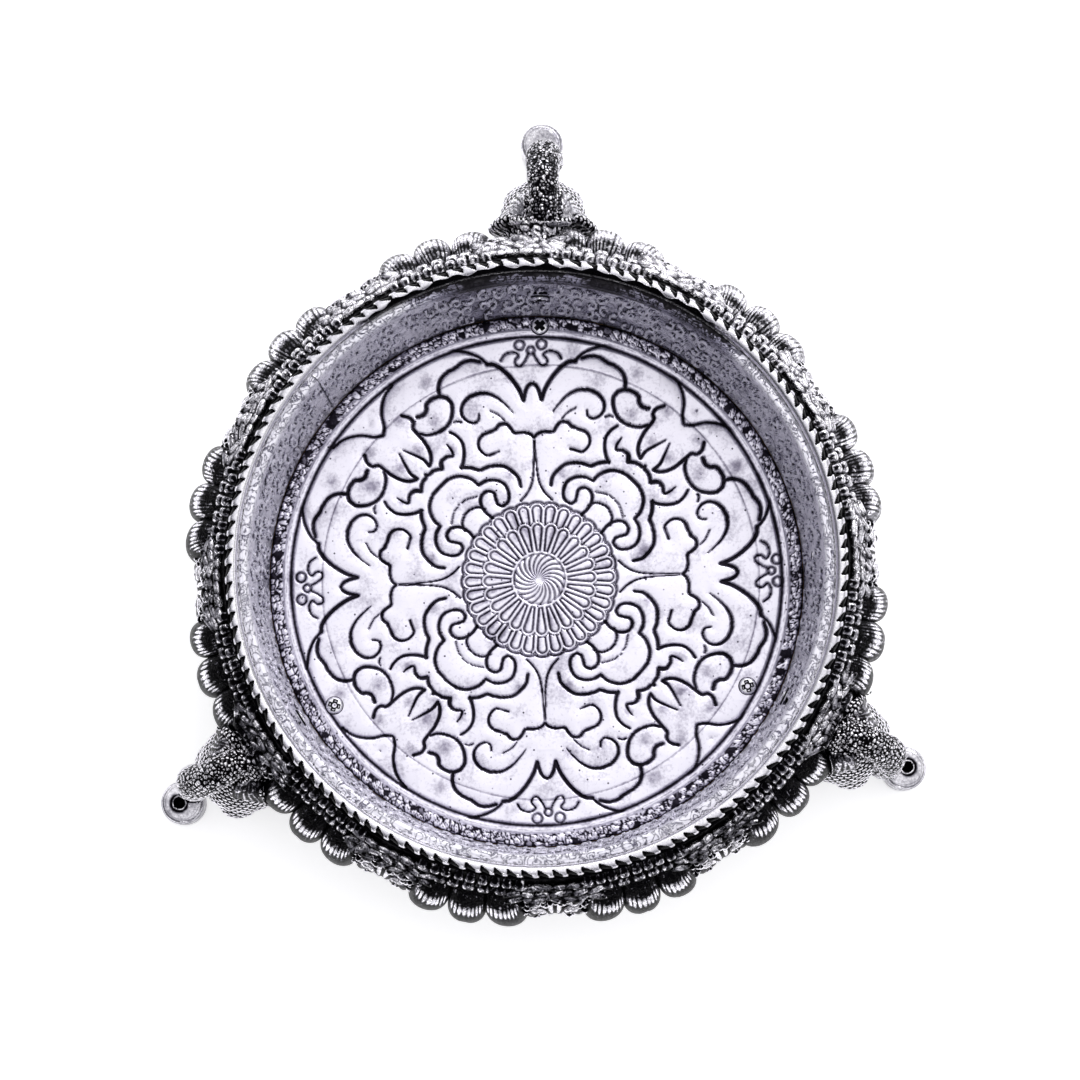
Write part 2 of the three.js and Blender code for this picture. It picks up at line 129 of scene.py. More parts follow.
def unit_ball(rows, columns):
    """The points of ball_faces on a ball of radius 1."""
    latitude, longitude = ball_angles(rows, columns)
    level = np.cos(latitude)
    return np.stack([level * np.cos(longitude), level * np.sin(longitude), np.sin(latitude)], 1)


def copies(points, faces):
    """One shell from many of the same faces, whose points are (copies, points, 3)."""
    start = (np.arange(len(points)) * points.shape[1])[:, None, None]
    quads, triangles = faces
    return points.reshape(-1, 3), (quads + start).reshape(-1, 4), (triangles + start).reshape(-1, 3)


def polar(radius, bearing, z):
    """Points from radii, bearings in degrees and heights."""
    radius, bearing, z = np.broadcast_arrays(radius, np.radians(bearing), z)
    return np.stack([radius * np.cos(bearing), radius * np.sin(bearing), z], -1)


def turned(points, bearing):
    """Points turned about the bowl's axis."""
    c, s = math.cos(math.radians(bearing)), math.sin(math.radians(bearing))
    return points @ np.array([[c, s, 0], [-s, c, 0], [0, 0, 1]])


def smooth_path(points, step=0.3):
    """Evenly close points on a smooth curve through the given ones."""
    points = np.asarray(points, float)
    held = np.concatenate([[2 * points[0] - points[1]], points, [2 * points[-1] - points[-2]]])
    stretches = []
    for a, b, c, d in zip(held, held[1:], held[2:], held[3:]):
        count = max(2, math.ceil(np.linalg.norm((c - b)[:3]) / step))
        t = np.arange(count)[:, None] / count
        curve = 2 * b + (c - a) * t + (2 * a - 5 * b + 4 * c - d) * t**2 + (3 * b - a - 3 * c + d) * t**3
        stretches.append(curve / 2)
    return np.concatenate([*stretches, points[-1:]])


def nearest_on(path, places):
    """Each place's distance from a path, and how far along the path it is, from 0 to 1."""
    steps = np.diff(path, axis=0)
    lengths = np.linalg.norm(steps, axis=1)
    passed = np.concatenate([[0], np.cumsum(lengths)])
    best = np.full(len(places), np.inf)
    along = np.zeros(len(places))
    for start, step, length, before in zip(path, steps, lengths, passed):
        away = places - start
        t = np.clip(away @ step / length**2, 0, 1)
        distance = np.linalg.norm(away - t[:, None] * step, axis=1)
        nearer = distance < best
        best[nearer] = distance[nearer]
        along[nearer] = before + t[nearer] * length
    return best, along / passed[-1]


def ease(low, high, value):
    """0 on low's side and 1 on high's side, with a soft step between."""
    t = np.clip((value - low) / (high - low), 0, 1)
    return t * t * (3 - 2 * t)


GRAIN_TABLE = np.random.default_rng(5).random((32, 32, 32, 4))


def grains(points, size):
    """Randomly packed grains about size across: 0 on a border, near 1 inside, and a number for each."""
    place = points / size
    base = np.floor(place).astype(int)
    first = np.full(len(points), 9.0)
    second = first.copy()
    number = np.zeros(len(points))
    for step in np.ndindex(3, 3, 3):
        cell = base + np.array(step) - 1
        chance = GRAIN_TABLE[tuple((cell % 32).T)]
        distance = np.linalg.norm(cell + 0.1 + 0.8 * chance[:, :3] - place, axis=1)
        nearer = distance < first
        second = np.where(nearer, first, np.minimum(second, distance))
        number = np.where(nearer, chance[:, 3], number)
        first = np.where(nearer, distance, first)
    return second - first, number


def build(name, shells):
    """A smooth mesh from closed shells, riding on the bowl."""
    starts = np.cumsum([0] + [len(points) for points, _, _ in shells])
    points = np.concatenate([points for points, _, _ in shells])
    quads = np.concatenate([quads + start for (_, quads, _), start in zip(shells, starts)])
    triangles = np.concatenate([three + start for (_, _, three), start in zip(shells, starts)])
    mesh = bpy.data.meshes.new(name)
    mesh.vertices.add(len(points))
    mesh.vertices.foreach_set("co", (points * METRE).astype(np.float32).ravel())
    corners = np.concatenate([quads.ravel(), triangles.ravel()]).astype(np.int32)
    firsts = np.concatenate([np.arange(len(quads)) * 4, quads.size + np.arange(len(triangles)) * 3])
    mesh.loops.add(len(corners))
    mesh.loops.foreach_set("vertex_index", corners)
    mesh.polygons.add(len(firsts))
    mesh.polygons.foreach_set("loop_start", firsts.astype(np.int32))
    mesh.update(calc_edges=True)
    mesh.validate()
    mesh.shade_smooth()
    piece = bpy.data.objects.new(name, mesh)
    bpy.context.collection.objects.link(piece)
    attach(piece, "root")
    return piece


def mark(piece, name, values):
    """Keeps a number for each point of a piece, for its material."""
    kept = piece.data.attributes.new(name, "FLOAT", "POINT")
    kept.data.foreach_set("value", np.asarray(values, np.float32))


def outward_normals(piece):
    """The outward direction at each point of a piece."""
    outward = np.empty(len(piece.data.vertices) * 3, np.float32)
    piece.data.vertex_normals.foreach_get("vector", outward)
    return outward.reshape(-1, 3).astype(float)


def mark_hollows(piece, rounds=10):
    """Marks how far each point lies below its surroundings, less what its whole form's curve gives:
    positive in grooves, negative on ridges."""
    mesh = piece.data
    count = len(mesh.vertices)
    places = np.empty(count * 3, np.float32)
    mesh.vertices.foreach_get("co", places)
    places = places.reshape(-1, 3).astype(float) / METRE
    ends = np.empty(len(mesh.edges) * 2, np.int32)
    mesh.edges.foreach_get("vertices", ends)
    a, b = ends.reshape(-1, 2).T
    degree = np.bincount(ends, minlength=count).clip(1)[:, None]
    even = places.copy()
    for _ in range(rounds):
        sums = [np.bincount(a, even[b, k], count) + np.bincount(b, even[a, k], count) for k in range(3)]
        even = np.stack(sums, 1) / degree
    depth = ((even - places) * outward_normals(piece)).sum(1)
    around = depth.copy()
    for _ in range(2 * rounds):
        around = (np.bincount(a, around[b], count) + np.bincount(b, around[a], count)) / degree[:, 0]
    mark(piece, "hollow", depth - around)


def dress(piece, material, slot, *nodes):
    """Gives a piece its material, and lets it stand for CAD nodes, which it hides. Its slot is not used."""
    piece.data.materials.append(material)
    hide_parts(*nodes)


def linear(code):
    """An sRGB hex colour as linear values for a shader."""
    parts = [int(code[k : k + 2], 16) / 255 for k in (1, 3, 5)]
    return [*(p / 12.92 if p <= 0.04045 else ((p + 0.055) / 1.055) ** 2.4 for p in parts), 1.0]


def every(spacing):
    """The scale of a pattern whose parts are some millimetres apart."""
    return 1 / (spacing * METRE)


def add_node(tree, kind, sockets=None, stops=(), **settings):
    """Adds a node with its settings, the sRGB stops of its ramp, and a value or a link on each socket."""
    made = tree.nodes.new("ShaderNode" + kind)
    for name, value in settings.items():
        setattr(made, name, value)
    for name, value in (sockets or {}).items():
        if isinstance(value, bpy.types.NodeSocket):
            tree.links.new(value, made.inputs[name])
        else:
            made.inputs[name].default_value = value
    if stops:
        band = made.color_ramp.elements
        while len(band) < len(stops):
            band.new(0.5)
        for element, (place, code) in zip(band, stops):
            element.position = place
            element.color = linear(code)
    return made


def new_material(name):
    """A material with nothing but its principled shader and its tree."""
    material = bpy.data.materials.new(name)
    material.use_nodes = True
    return material, material.node_tree, material.node_tree.nodes["Principled BSDF"]


def cast_white_metal(name, reach, wrinkled, dullest, brightest):
    """Cast white metal, blackened all over and rubbed back: black patina stays in grooves, raised edges
    are burnished bright, and the faces between keep a dull grey bloom. Each piece's polish also carries its
    painted shade. Corners and gaps between parts get painted shade, random bright blobs are painted glints,
    the colour is painted paler towards the back, and ridges get stronger painted highlights towards the
    front."""
    material, tree, shader = new_material(name)
    shader.inputs["Metallic"].default_value = 1.0
    place = add_node(tree, "TexCoord").outputs["Object"]
    hollow = add_node(tree, "Attribute", attribute_name="hollow").outputs["Fac"]
    polish_and_shade = add_node(tree, "Attribute", attribute_name="polish_and_shade").outputs["Fac"]
    # Where a face was filed smooth, none of the casting's skin is left
    as_cast = add_node(tree, "MapRange", {0: polish_and_shade, 1: 2.6, 2: 1.7}).outputs[0]
    # Black patina lies in grooves and has gone from ridges; corners and gaps between parts, where the
    # surroundings hide the sky, get painted shade
    groove = add_node(tree, "MapRange", {0: hollow, 1: 0.01, 2: 0.08, 3: 0.0, 4: -0.85}).outputs[0]
    ridge = add_node(tree, "MapRange", {0: hollow, 1: -0.01, 2: -0.08}).outputs[0]
    open_sky = add_node(tree, "AmbientOcclusion", {"Distance": reach * METRE}, samples=6).outputs["AO"]
    painted_corner_shade = add_node(tree, "MapRange", {0: open_sky, 1: 0.2, 2: 0.8, 3: -0.35, 4: 0.0}).outputs[0]
    # Painted glints: random bright blobs that stand for highlights; then uneven patches, and specks
    glint_noise = add_node(
        tree,
        "TexNoise",
        {"Vector": place, "Scale": every(2.6), "Detail": 2.0, "Distortion": 1.4},
    ).outputs["Fac"]
    painted_glint = add_node(tree, "MapRange", {0: glint_noise, 1: 0.56, 2: 0.66, 3: 0.0, 4: 0.55}).outputs[0]
    painted_glint = add_node(tree, "Math", {0: painted_glint, 1: as_cast}, operation="MULTIPLY").outputs[0]
    patches = add_node(tree, "TexNoise", {"Vector": place, "Scale": every(7), "Detail": 3.0}).outputs["Fac"]
    patch = add_node(tree, "MapRange", {0: patches, 1: 0.3, 2: 0.7, 3: -0.1, 4: 0.1}).outputs[0]
    specks = add_node(tree, "TexNoise", {"Vector": place, "Scale": every(0.9), "Detail": 4.0}).outputs["Fac"]
    speck = add_node(tree, "MapRange", {0: specks, 1: 0.3, 2: 0.7, 3: -0.09, 4: 0.09}).outputs[0]
    # Painted light: paler towards the back, where the ridges' painted highlights are weaker than at the front
    backwards = {0: place, 1: (0.35, 0.94, 0.0)}
    back = add_node(tree, "VectorMath", backwards, operation="DOT_PRODUCT").outputs["Value"]
    back_light_range = {0: back, 1: -60 * METRE, 2: 110 * METRE, 3: 0.06, 4: 0.52}
    painted_back_light = add_node(tree, "MapRange", back_light_range).outputs[0]
    gain = add_node(tree, "MapRange", {0: painted_back_light, 1: 0.06, 2: 0.52, 3: 1.05, 4: 0.3}).outputs[0]
    gain = add_node(tree, "Math", {0: gain, 1: as_cast}, operation="MULTIPLY").outputs[0]
    painted_back_light = add_node(tree, "Math", {0: painted_back_light, 1: as_cast}, operation="MULTIPLY").outputs[0]
    # Wrinkles and cold shuts of the casting, 1 to 2 mm apart
    folds = add_node(
        tree,
        "TexNoise",
        {"Vector": place, "Scale": every(2.4), "Detail": 3.0, "Distortion": 1.1},
    ).outputs["Fac"]
    fold = add_node(tree, "Math", {0: folds, 1: 0.5}, operation="SUBTRACT").outputs[0]
    fold = add_node(tree, "Math", {0: fold}, operation="ABSOLUTE").outputs[0]
    crease = add_node(tree, "MapRange", {0: fold, 1: 0.0, 2: 0.04, 3: -wrinkled, 4: 0.05}).outputs[0]
    crease = add_node(tree, "Math", {0: crease, 1: as_cast}, operation="MULTIPLY").outputs[0]
    wear_and_painted_light = add_node(tree, "Math", {0: ridge, 1: gain, 2: groove}, operation="MULTIPLY_ADD").outputs[0]
    for part in (painted_corner_shade, painted_glint, patch, speck, painted_back_light, crease):
        wear_and_painted_light = add_node(tree, "Math", {0: wear_and_painted_light, 1: part}, operation="ADD").outputs[0]
    wear_and_painted_light = add_node(tree, "Math", {0: polish_and_shade, 1: 0.2, 2: wear_and_painted_light}, operation="MULTIPLY_ADD").outputs[0]
    stops = ((0.08, "#09080b"), (0.26, dullest), (0.5, brightest), (0.8, "#f4f2f8"))
    colour = add_node(tree, "ValToRGB", {0: wear_and_painted_light}, stops).outputs["Color"]
    tree.links.new(colour, shader.inputs["Base Color"])
    rough = add_node(tree, "MapRange", {0: wear_and_painted_light, 1: 0.1, 2: 0.7, 3: 0.42, 4: 0.24}).outputs[0]
    tree.links.new(rough, shader.inputs["Roughness"])
    # Sand-cast skin, grains of about 0.4 mm
    skin = add_node(tree, "TexNoise", {"Vector": place, "Scale": every(0.45), "Detail": 3.0}).outputs["Fac"]
    dent = add_node(tree, "Bump", {"Height": crease, "Strength": 1.0, "Distance": 0.6 * METRE}).outputs[0]
    grainy = {"Height": skin, "Strength": 0.6, "Distance": 0.1 * METRE, "Normal": dent}
    tree.links.new(add_node(tree, "Bump", grainy).outputs[0], shader.inputs["Normal"])
    return material


def pressed_sheet(name, bright, middle, dark, pit_spacing, crinkled, bloom):
    """Thin white sheet pressed over a die and tarnished: bright where it was wiped, with black wax left
    in the pressed lines, a cloudy lavender bloom and small dark pits. The darkness each piece gives also
    holds painted shade, painted highlights and painted reflections."""
    material, tree, shader = new_material(name)
    shader.inputs["Metallic"].default_value = 1.0 - bloom
    place = add_node(tree, "TexCoord").outputs["Object"]
    wax_and_shade = add_node(tree, "Attribute", attribute_name="dark").outputs["Fac"]
    clouds = add_node(tree, "TexNoise", {"Vector": place, "Scale": every(11), "Detail": 5.0}).outputs["Fac"]
    cloud = add_node(tree, "MapRange", {0: clouds, 1: 0.5, 2: 0.78, 3: 0.0, 4: 0.3}).outputs[0]
    grit = add_node(tree, "TexNoise", {"Vector": place, "Scale": every(1.1), "Detail": 4.0}).outputs["Fac"]
    speck = add_node(tree, "MapRange", {0: grit, 1: 0.35, 2: 0.75, 3: -0.06, 4: 0.14}).outputs[0]
    # Fine crinkles with wax left in them, about 1.5 mm apart
    folds = add_node(
        tree,
        "TexNoise",
        {"Vector": place, "Scale": every(3), "Detail": 4.0, "Distortion": 1.4},
    ).outputs["Fac"]
    fold = add_node(tree, "Math", {0: folds, 1: 0.5}, operation="SUBTRACT").outputs[0]
    fold = add_node(tree, "Math", {0: fold}, operation="ABSOLUTE").outputs[0]
    depths = {0: fold, 1: 0.0, 2: 0.05, 3: crinkled, 4: -0.4 * crinkled}
    crinkle = add_node(tree, "MapRange", depths).outputs[0]
    # A pit in nearly every other cell, about 0.5 mm across
    pits = add_node(tree, "TexVoronoi", {"Vector": place, "Scale": every(pit_spacing)})
    chance = add_node(tree, "SeparateColor", {0: pits.outputs["Color"]}).outputs[0]
    chosen = add_node(tree, "Math", {0: chance, 1: 0.55}, operation="GREATER_THAN").outputs[0]
    edge = 0.42 / pit_spacing
    round_pit = {0: pits.outputs["Distance"], 1: edge, 2: edge * 0.4, 3: 0.0, 4: 0.8}
    pit = add_node(tree, "MapRange", round_pit).outputs[0]
    pit = add_node(tree, "Math", {0: pit, 1: chosen}, operation="MULTIPLY").outputs[0]
    tone = wax_and_shade
    for part in (cloud, speck, pit, crinkle):
        tone = add_node(tree, "Math", {0: tone, 1: part}, operation="ADD").outputs[0]
    stops = ((0.05, bright), (0.4, middle), (0.75, dark), (1.0, "#17141c"))
    colour = add_node(tree, "ValToRGB", {0: tone}, stops).outputs["Color"]
    tree.links.new(colour, shader.inputs["Base Color"])
    rough = add_node(tree, "MapRange", {0: tone, 1: 0.0, 2: 0.8, 3: 0.3, 4: 0.55}).outputs[0]
    tree.links.new(rough, shader.inputs["Roughness"])
    dent = {"Height": crinkle, "Strength": 2 * bloom, "Distance": -0.8 * METRE}
    dented = add_node(tree, "Bump", dent).outputs[0]
    grainy = {"Height": grit, "Strength": 0.4, "Distance": 0.05 * METRE, "Normal": dented}
    tree.links.new(add_node(tree, "Bump", grainy).outputs[0], shader.inputs["Normal"])
    return material


def plated_steel():
    """Zinc-plated steel of screws and rivet: bright and a little mottled, and darker grey in the recesses."""
    material, tree, shader = new_material("zinc_plated_steel")
    shader.inputs["Metallic"].default_value = 1.0
    place = add_node(tree, "TexCoord").outputs["Object"]
    hollow = add_node(tree, "Attribute", attribute_name="hollow").outputs["Fac"]
    mottle = add_node(tree, "TexNoise", {"Vector": place, "Scale": every(0.8), "Detail": 4.0}).outputs["Fac"]
    tone = add_node(tree, "MapRange", {0: hollow, 1: 0.05, 2: -0.03}).outputs[0]
    speck = add_node(tree, "MapRange", {0: mottle, 1: 0.3, 2: 0.7, 3: -0.15, 4: 0.1}).outputs[0]
    tone = add_node(tree, "Math", {0: tone, 1: speck}, operation="ADD").outputs[0]
    stops = ((0.1, "#2c2b31"), (0.4, "#a9a8b2"), (0.8, "#eeedf3"))
    colour = add_node(tree, "ValToRGB", {0: tone}, stops).outputs["Color"]
    tree.links.new(colour, shader.inputs["Base Color"])
    rough = add_node(tree, "MapRange", {0: tone, 1: 0.0, 2: 0.5, 3: 0.8, 4: 0.26}).outputs[0]
    tree.links.new(rough, shader.inputs["Roughness"])
    return material


def plain_board():
    """A bare board under the bowl: sawn softwood, its grain along X, greyed by handling."""
    material, tree, shader = new_material("bare_softwood")
    place = add_node(tree, "TexCoord").outputs["Object"]
    grain = add_node(tree, "Mapping", {"Vector": place, "Scale": (0.08, 1.0, 1.0)}).outputs[0]
    warp = add_node(tree, "TexNoise", {"Vector": grain, "Scale": every(22), "Detail": 3.0}).outputs["Fac"]
    # Year rings about 4 mm apart, wandering with the noise
    rings = add_node(
        tree,
        "TexWave",
        {"Vector": grain, "Scale": every(26), "Distortion": 5.0, "Detail": 3.0},
        bands_direction="Y",
    ).outputs["Fac"]
    fibre = add_node(tree, "TexNoise", {"Vector": grain, "Scale": every(0.7), "Detail": 3.0}).outputs["Fac"]
    tone = add_node(tree, "Math", {0: rings, 1: warp}, operation="MULTIPLY").outputs[0]
    tone = add_node(tree, "Math", {0: fibre, 1: 0.35, 2: tone}, operation="MULTIPLY_ADD").outputs[0]
    stops = ((0.1, "#b08a60"), (0.5, "#8f6a45"), (0.9, "#5d4229"))
    colour = add_node(tree, "ValToRGB", {0: tone}, stops).outputs["Color"]
    tree.links.new(colour, shader.inputs["Base Color"])
    shader.inputs["Roughness"].default_value = 0.8
    sawn = {"Height": fibre, "Strength": 0.4, "Distance": 0.1 * METRE}
    tree.links.new(add_node(tree, "Bump", sawn).outputs[0], shader.inputs["Normal"])
    return material


# The medallion repeats eight times, mirrored. Its lines are given between the +Y axis and the diagonal.
MEDALLION_CENTRE = (1.0, -0.1)
MEDALLION_TURN = -0.9
FIELD_RISE = 0.75
LINE_DEPTH = 0.85
LINE_SHARE = 0.76  # of a pressed line's width that the wax fills

# Width at both ends, then the points of each pressed line
LEAF_LINES = (
    ((1.6, 1.7), [(3.2, 63.5), (4.5, 67), (7, 71), (10, 74.3), (13, 76.3), (15.5, 76.6)]),
    ((1.6, 1.5), [
        (18, 77.6), (21, 78.2), (24, 77.6), (26.5, 75.8),
        (29.5, 74.2), (31.8, 72), (32.8, 69), (32.5, 66),
    ]),
    ((1.2, 1.7), [(0, 69.3), (1.3, 68.5), (2.4, 66.5), (3.2, 63.5)]),
    ((1.1, 1.3), [(15.5, 76.8), (18.5, 79.3), (23, 81.2), (28, 82)]),
    ((1.2, 1.2), [(49, 70.4), (51.3, 67.5), (52.6, 64), (53, 60), (52.3, 56), (52.6, 53)]),
    ((0.3, 1.6), [(7, 59), (9.5, 62), (12.5, 64.7), (16, 66.3), (19.5, 66.3)]),
    ((1.6, 0.7), [
        (19.5, 66.3), (22.7, 64.8), (24.8, 62), (24.9, 59),
        (23.2, 56.8), (20.8, 56), (19.2, 57), (18.9, 59),
    ]),
    ((0.5, 0.5), [(10, 56.3), (12, 58.4), (15, 60)]),
    ((0.7, 0.7), [(25.3, 56.4), (26.8, 56.8), (28, 56.4)]),
    ((1.1, 1.4), [
        (0, 50), (1.3, 51.3), (3.6, 52), (6.8, 52),
        (8, 53.6), (9.6, 55.2), (11.8, 55.1), (13.3, 53.5),
    ]),
    ((1.4, 0.8), [
        (13.3, 53.5), (15.4, 52.6), (18, 51.5), (19.4, 49.5),
        (19.3, 47), (17.8, 45), (16.2, 44.4), (12.5, 45.6),
    ]),
)
SCROLL_LINES = (
    ((1.7, 1.6), [
        (40.5, 58.8), (38.3, 59.6), (37.3, 61.3), (37.2, 63.2),
        (35.2, 65), (32.5, 65.8), (30, 65.2),
    ]),
    ((1.6, 1.1), [
        (30, 65.2), (28.4, 63), (28.3, 59.8), (29.3, 56.6),
        (31.5, 54.2), (34.5, 52.8), (37.5, 52.3), (40, 52.9),
    ]),
    ((1.4, 1.4), [
        (46, 59.5), (43.3, 58.6), (42, 56.8), (42.2, 54.8), (40.2, 52.2),
        (38, 49.3), (36.5, 46), (36.3, 43.3), (37, 41.4),
    ]),
    ((1.5, 0.5), [(37, 41.4), (39, 43.7), (42.5, 45.6), (46, 47.3)]),
    ((1.1, 1.4), [(29.3, 53), (27.2, 51.7), (25.2, 49.2), (24.6, 45.8), (25, 42.5), (25.8, 40.2)]),
    ((0.5, 2.0), [(30.5, 48.6), (29, 46.5), (28.7, 44.7), (31, 44.3), (32.7, 42.7), (32.7, 40.3)]),
    ((1.3, 1.5), [
        (5.3, 33), (6, 36), (8.2, 38.5), (11, 40.3), (14.5, 40.6),
        (17.5, 40), (19.5, 39.3), (22.5, 40.2), (25.8, 40.5),
    ]),
    ((1.5, 1.4), [(32.7, 40.2), (35.3, 39.7), (37.6, 38.2), (38.4, 38.4)]),
    ((1.3, 1.4), [(20, 34), (22.5, 36.2), (26.5, 37.4), (30.5, 36.4), (33.8, 33.8)]),
    ((1.3, 1.2), [
        (20, 34), (17.3, 35.4), (14, 35.5), (11, 34),
        (9.6, 31), (9.8, 28), (11.8, 26.3), (13.6, 27),
    ]),
    ((1.2, 1.3), [
        (13.6, 27), (14.2, 29), (14.8, 31), (17, 31.7),
        (19.2, 30), (19.4, 27), (17.8, 24.2), (15.2, 22),
    ]),
    ((0.9, 0.9), [(18, 25.4), (20.7, 26.2), (23.2, 25.4), (24.5, 24.5)]),
    ((0.5, 0.4), [(20.5, 30), (24.5, 29), (27.2, 27.2)]),
    ((0.8, 0.5), [(5.5, 27.8), (3.2, 30.3), (1.5, 33.5), (0.7, 37.5), (0.35, 42), (0.2, 49)]),
    ((0.7, 0.8), [
        (1.0, 79.6), (2.0, 77.6), (3.6, 75.6), (5.2, 75.8), (5.6, 77.6),
        (4.4, 79.4), (6.4, 80.6), (9.2, 79.8), (10.6, 77.8),
    ]),
    ((0.5, 0.4), [(57.5, 57.5), (59.5, 55.2), (60.2, 52.8)]),
)
# Centre and radius of each pressed ball at the field's edge, in the same eighth
RIM_BALLS = (((0, 81.0), 1.3), ((3.9, 83.0), 1.7))
# Dabs of black wax that the wiping left, with their radii
WAX_DABS = (
    ((37, 71), 2.6),
    ((47, 57.4), 2.2),
    ((34.5, 57), 2.6),
    ((29, 47), 1.6),
    ((41, 47), 2.0),
    ((9, 37), 1.8),
)

HUB_RADIUS = 8.6
HUB_RIBS = 20
# Petals, inner radius and tip radius of the rosette's two rings
ROSETTE_RINGS = ((32, 18.0, 26.6), (24, 9.3, 20.0))
ROSETTE_RADIUS = 26.2  # between two petals of the outer ring

SCRIBED_RADIUS = 76.2
GROOVE_RADIUS = 85.6  # round the medallion's field
BORDER_INSIDE = 88.3  # border of crumbled pearls
BORDER_OUTSIDE = 92.2


def medallion(x, y):
    """Rise over the field and darkness of the pressed scrolls, at places in the medallion's own frame."""
    folded = np.sort(np.abs(np.stack([x, y], 1)), axis=1)
    line = np.zeros(len(x))
    nearest = np.full(len(x), 9.0)
    for (width, end_width), points in LEAF_LINES + SCROLL_LINES:
        path = smooth_path(points)
        low, high = path.min(0) - 4, path.max(0) + 4
        near = np.flatnonzero(((folded > low) & (folded < high)).all(1))
        distance, along = nearest_on(path, folded[near])
        half = (width + (end_width - width) * along) / 2 * LINE_SHARE
        line[near] = np.maximum(line[near], 1 - ease(half * 0.7, half * 1.2, distance))
        nearest[near] = np.minimum(nearest[near], np.maximum(distance - half, 0))
    balls = np.zeros(len(x))
    for centre, radius in RIM_BALLS:
        distance = np.linalg.norm(folded - centre, axis=1)
        line = np.maximum(line, 0.8 * (1 - ease(0.15, 0.5, np.abs(distance - radius))))
        balls = np.maximum(balls, np.sqrt(np.clip(1 - (distance / radius) ** 2, 0, 1)))
    dabs = np.zeros(len(x))
    for centre, radius in WAX_DABS:
        dabs += np.exp(-((np.linalg.norm(folded - centre, axis=1) / radius) ** 2))
    crown = 0.35 * (1 - np.exp(-nearest / 2.2))
    rise = FIELD_RISE - 0.15 + crown + 0.3 * balls - LINE_DEPTH * line
    # Painted shade on the slopes just beside each pressed line
    shoulder = np.exp(-nearest / 0.6)
    return rise, 0.9 * line + 0.1 * shoulder * (1 - line) + 0.32 * dabs * (1 - 0.5 * line)


def rosette(x, y):
    """Rise and darkness of the ribbed hub and its two rings of petals, with a bright ridge between two
    petals and a dark line inside each petal's edge."""
    radius = np.hypot(x, y)
    bearing = np.arctan2(y, x)
    whirl = HUB_RIBS * (bearing + 0.11 * radius)
    rib = np.abs(np.sin(whirl / 2)) * ease(0.3, 2.0, radius)
    rise = 0.75 + 0.45 * rib
    dark = 0.75 * (1 - ease(0.15, 0.6, rib)) * ease(0.8, 2.5, radius)
    edge_of_hub = np.exp(-(((radius - HUB_RADIUS - 0.2) / 0.35) ** 2))
    rise -= 0.3 * edge_of_hub
    dark = np.maximum(dark, 0.35 * edge_of_hub)
    for count, inner, tip in ROSETTE_RINGS:
        turn = (bearing * count / (2 * np.pi) + 0.5) % 1 - 0.5
        across = np.abs(radius * np.sin(turn * 2 * np.pi / count))
        cap = (tip * np.sin(np.pi / count)) / (1 + np.sin(np.pi / count))
        side = radius * np.sin(np.pi / count) - across
        round_end = cap - np.hypot(across, radius - (tip - cap))
        inside = np.where(radius > tip - cap, round_end, np.minimum(side, radius - inner))
        here = (radius > inner - 0.4) & (inside > -0.45)
        beyond = 1 - ease(-0.4, -0.1, inside)
        inner_line = np.exp(-(((inside - 0.8) / 0.26) ** 2))
        bed = ease(0.8, 1.3, inside)
        lift = 1.2 - 0.75 * beyond - 0.65 * inner_line - 0.1 * bed
        # Painted shade: one side of each petal's bed is darker
        shade = np.maximum(0.9 * beyond, 0.85 * inner_line) + 0.3 * bed * ease(0.1, -0.25, turn)
        rise = np.where(here, lift, rise)
        dark = np.where(here, shade, dark)
    return rise, dark


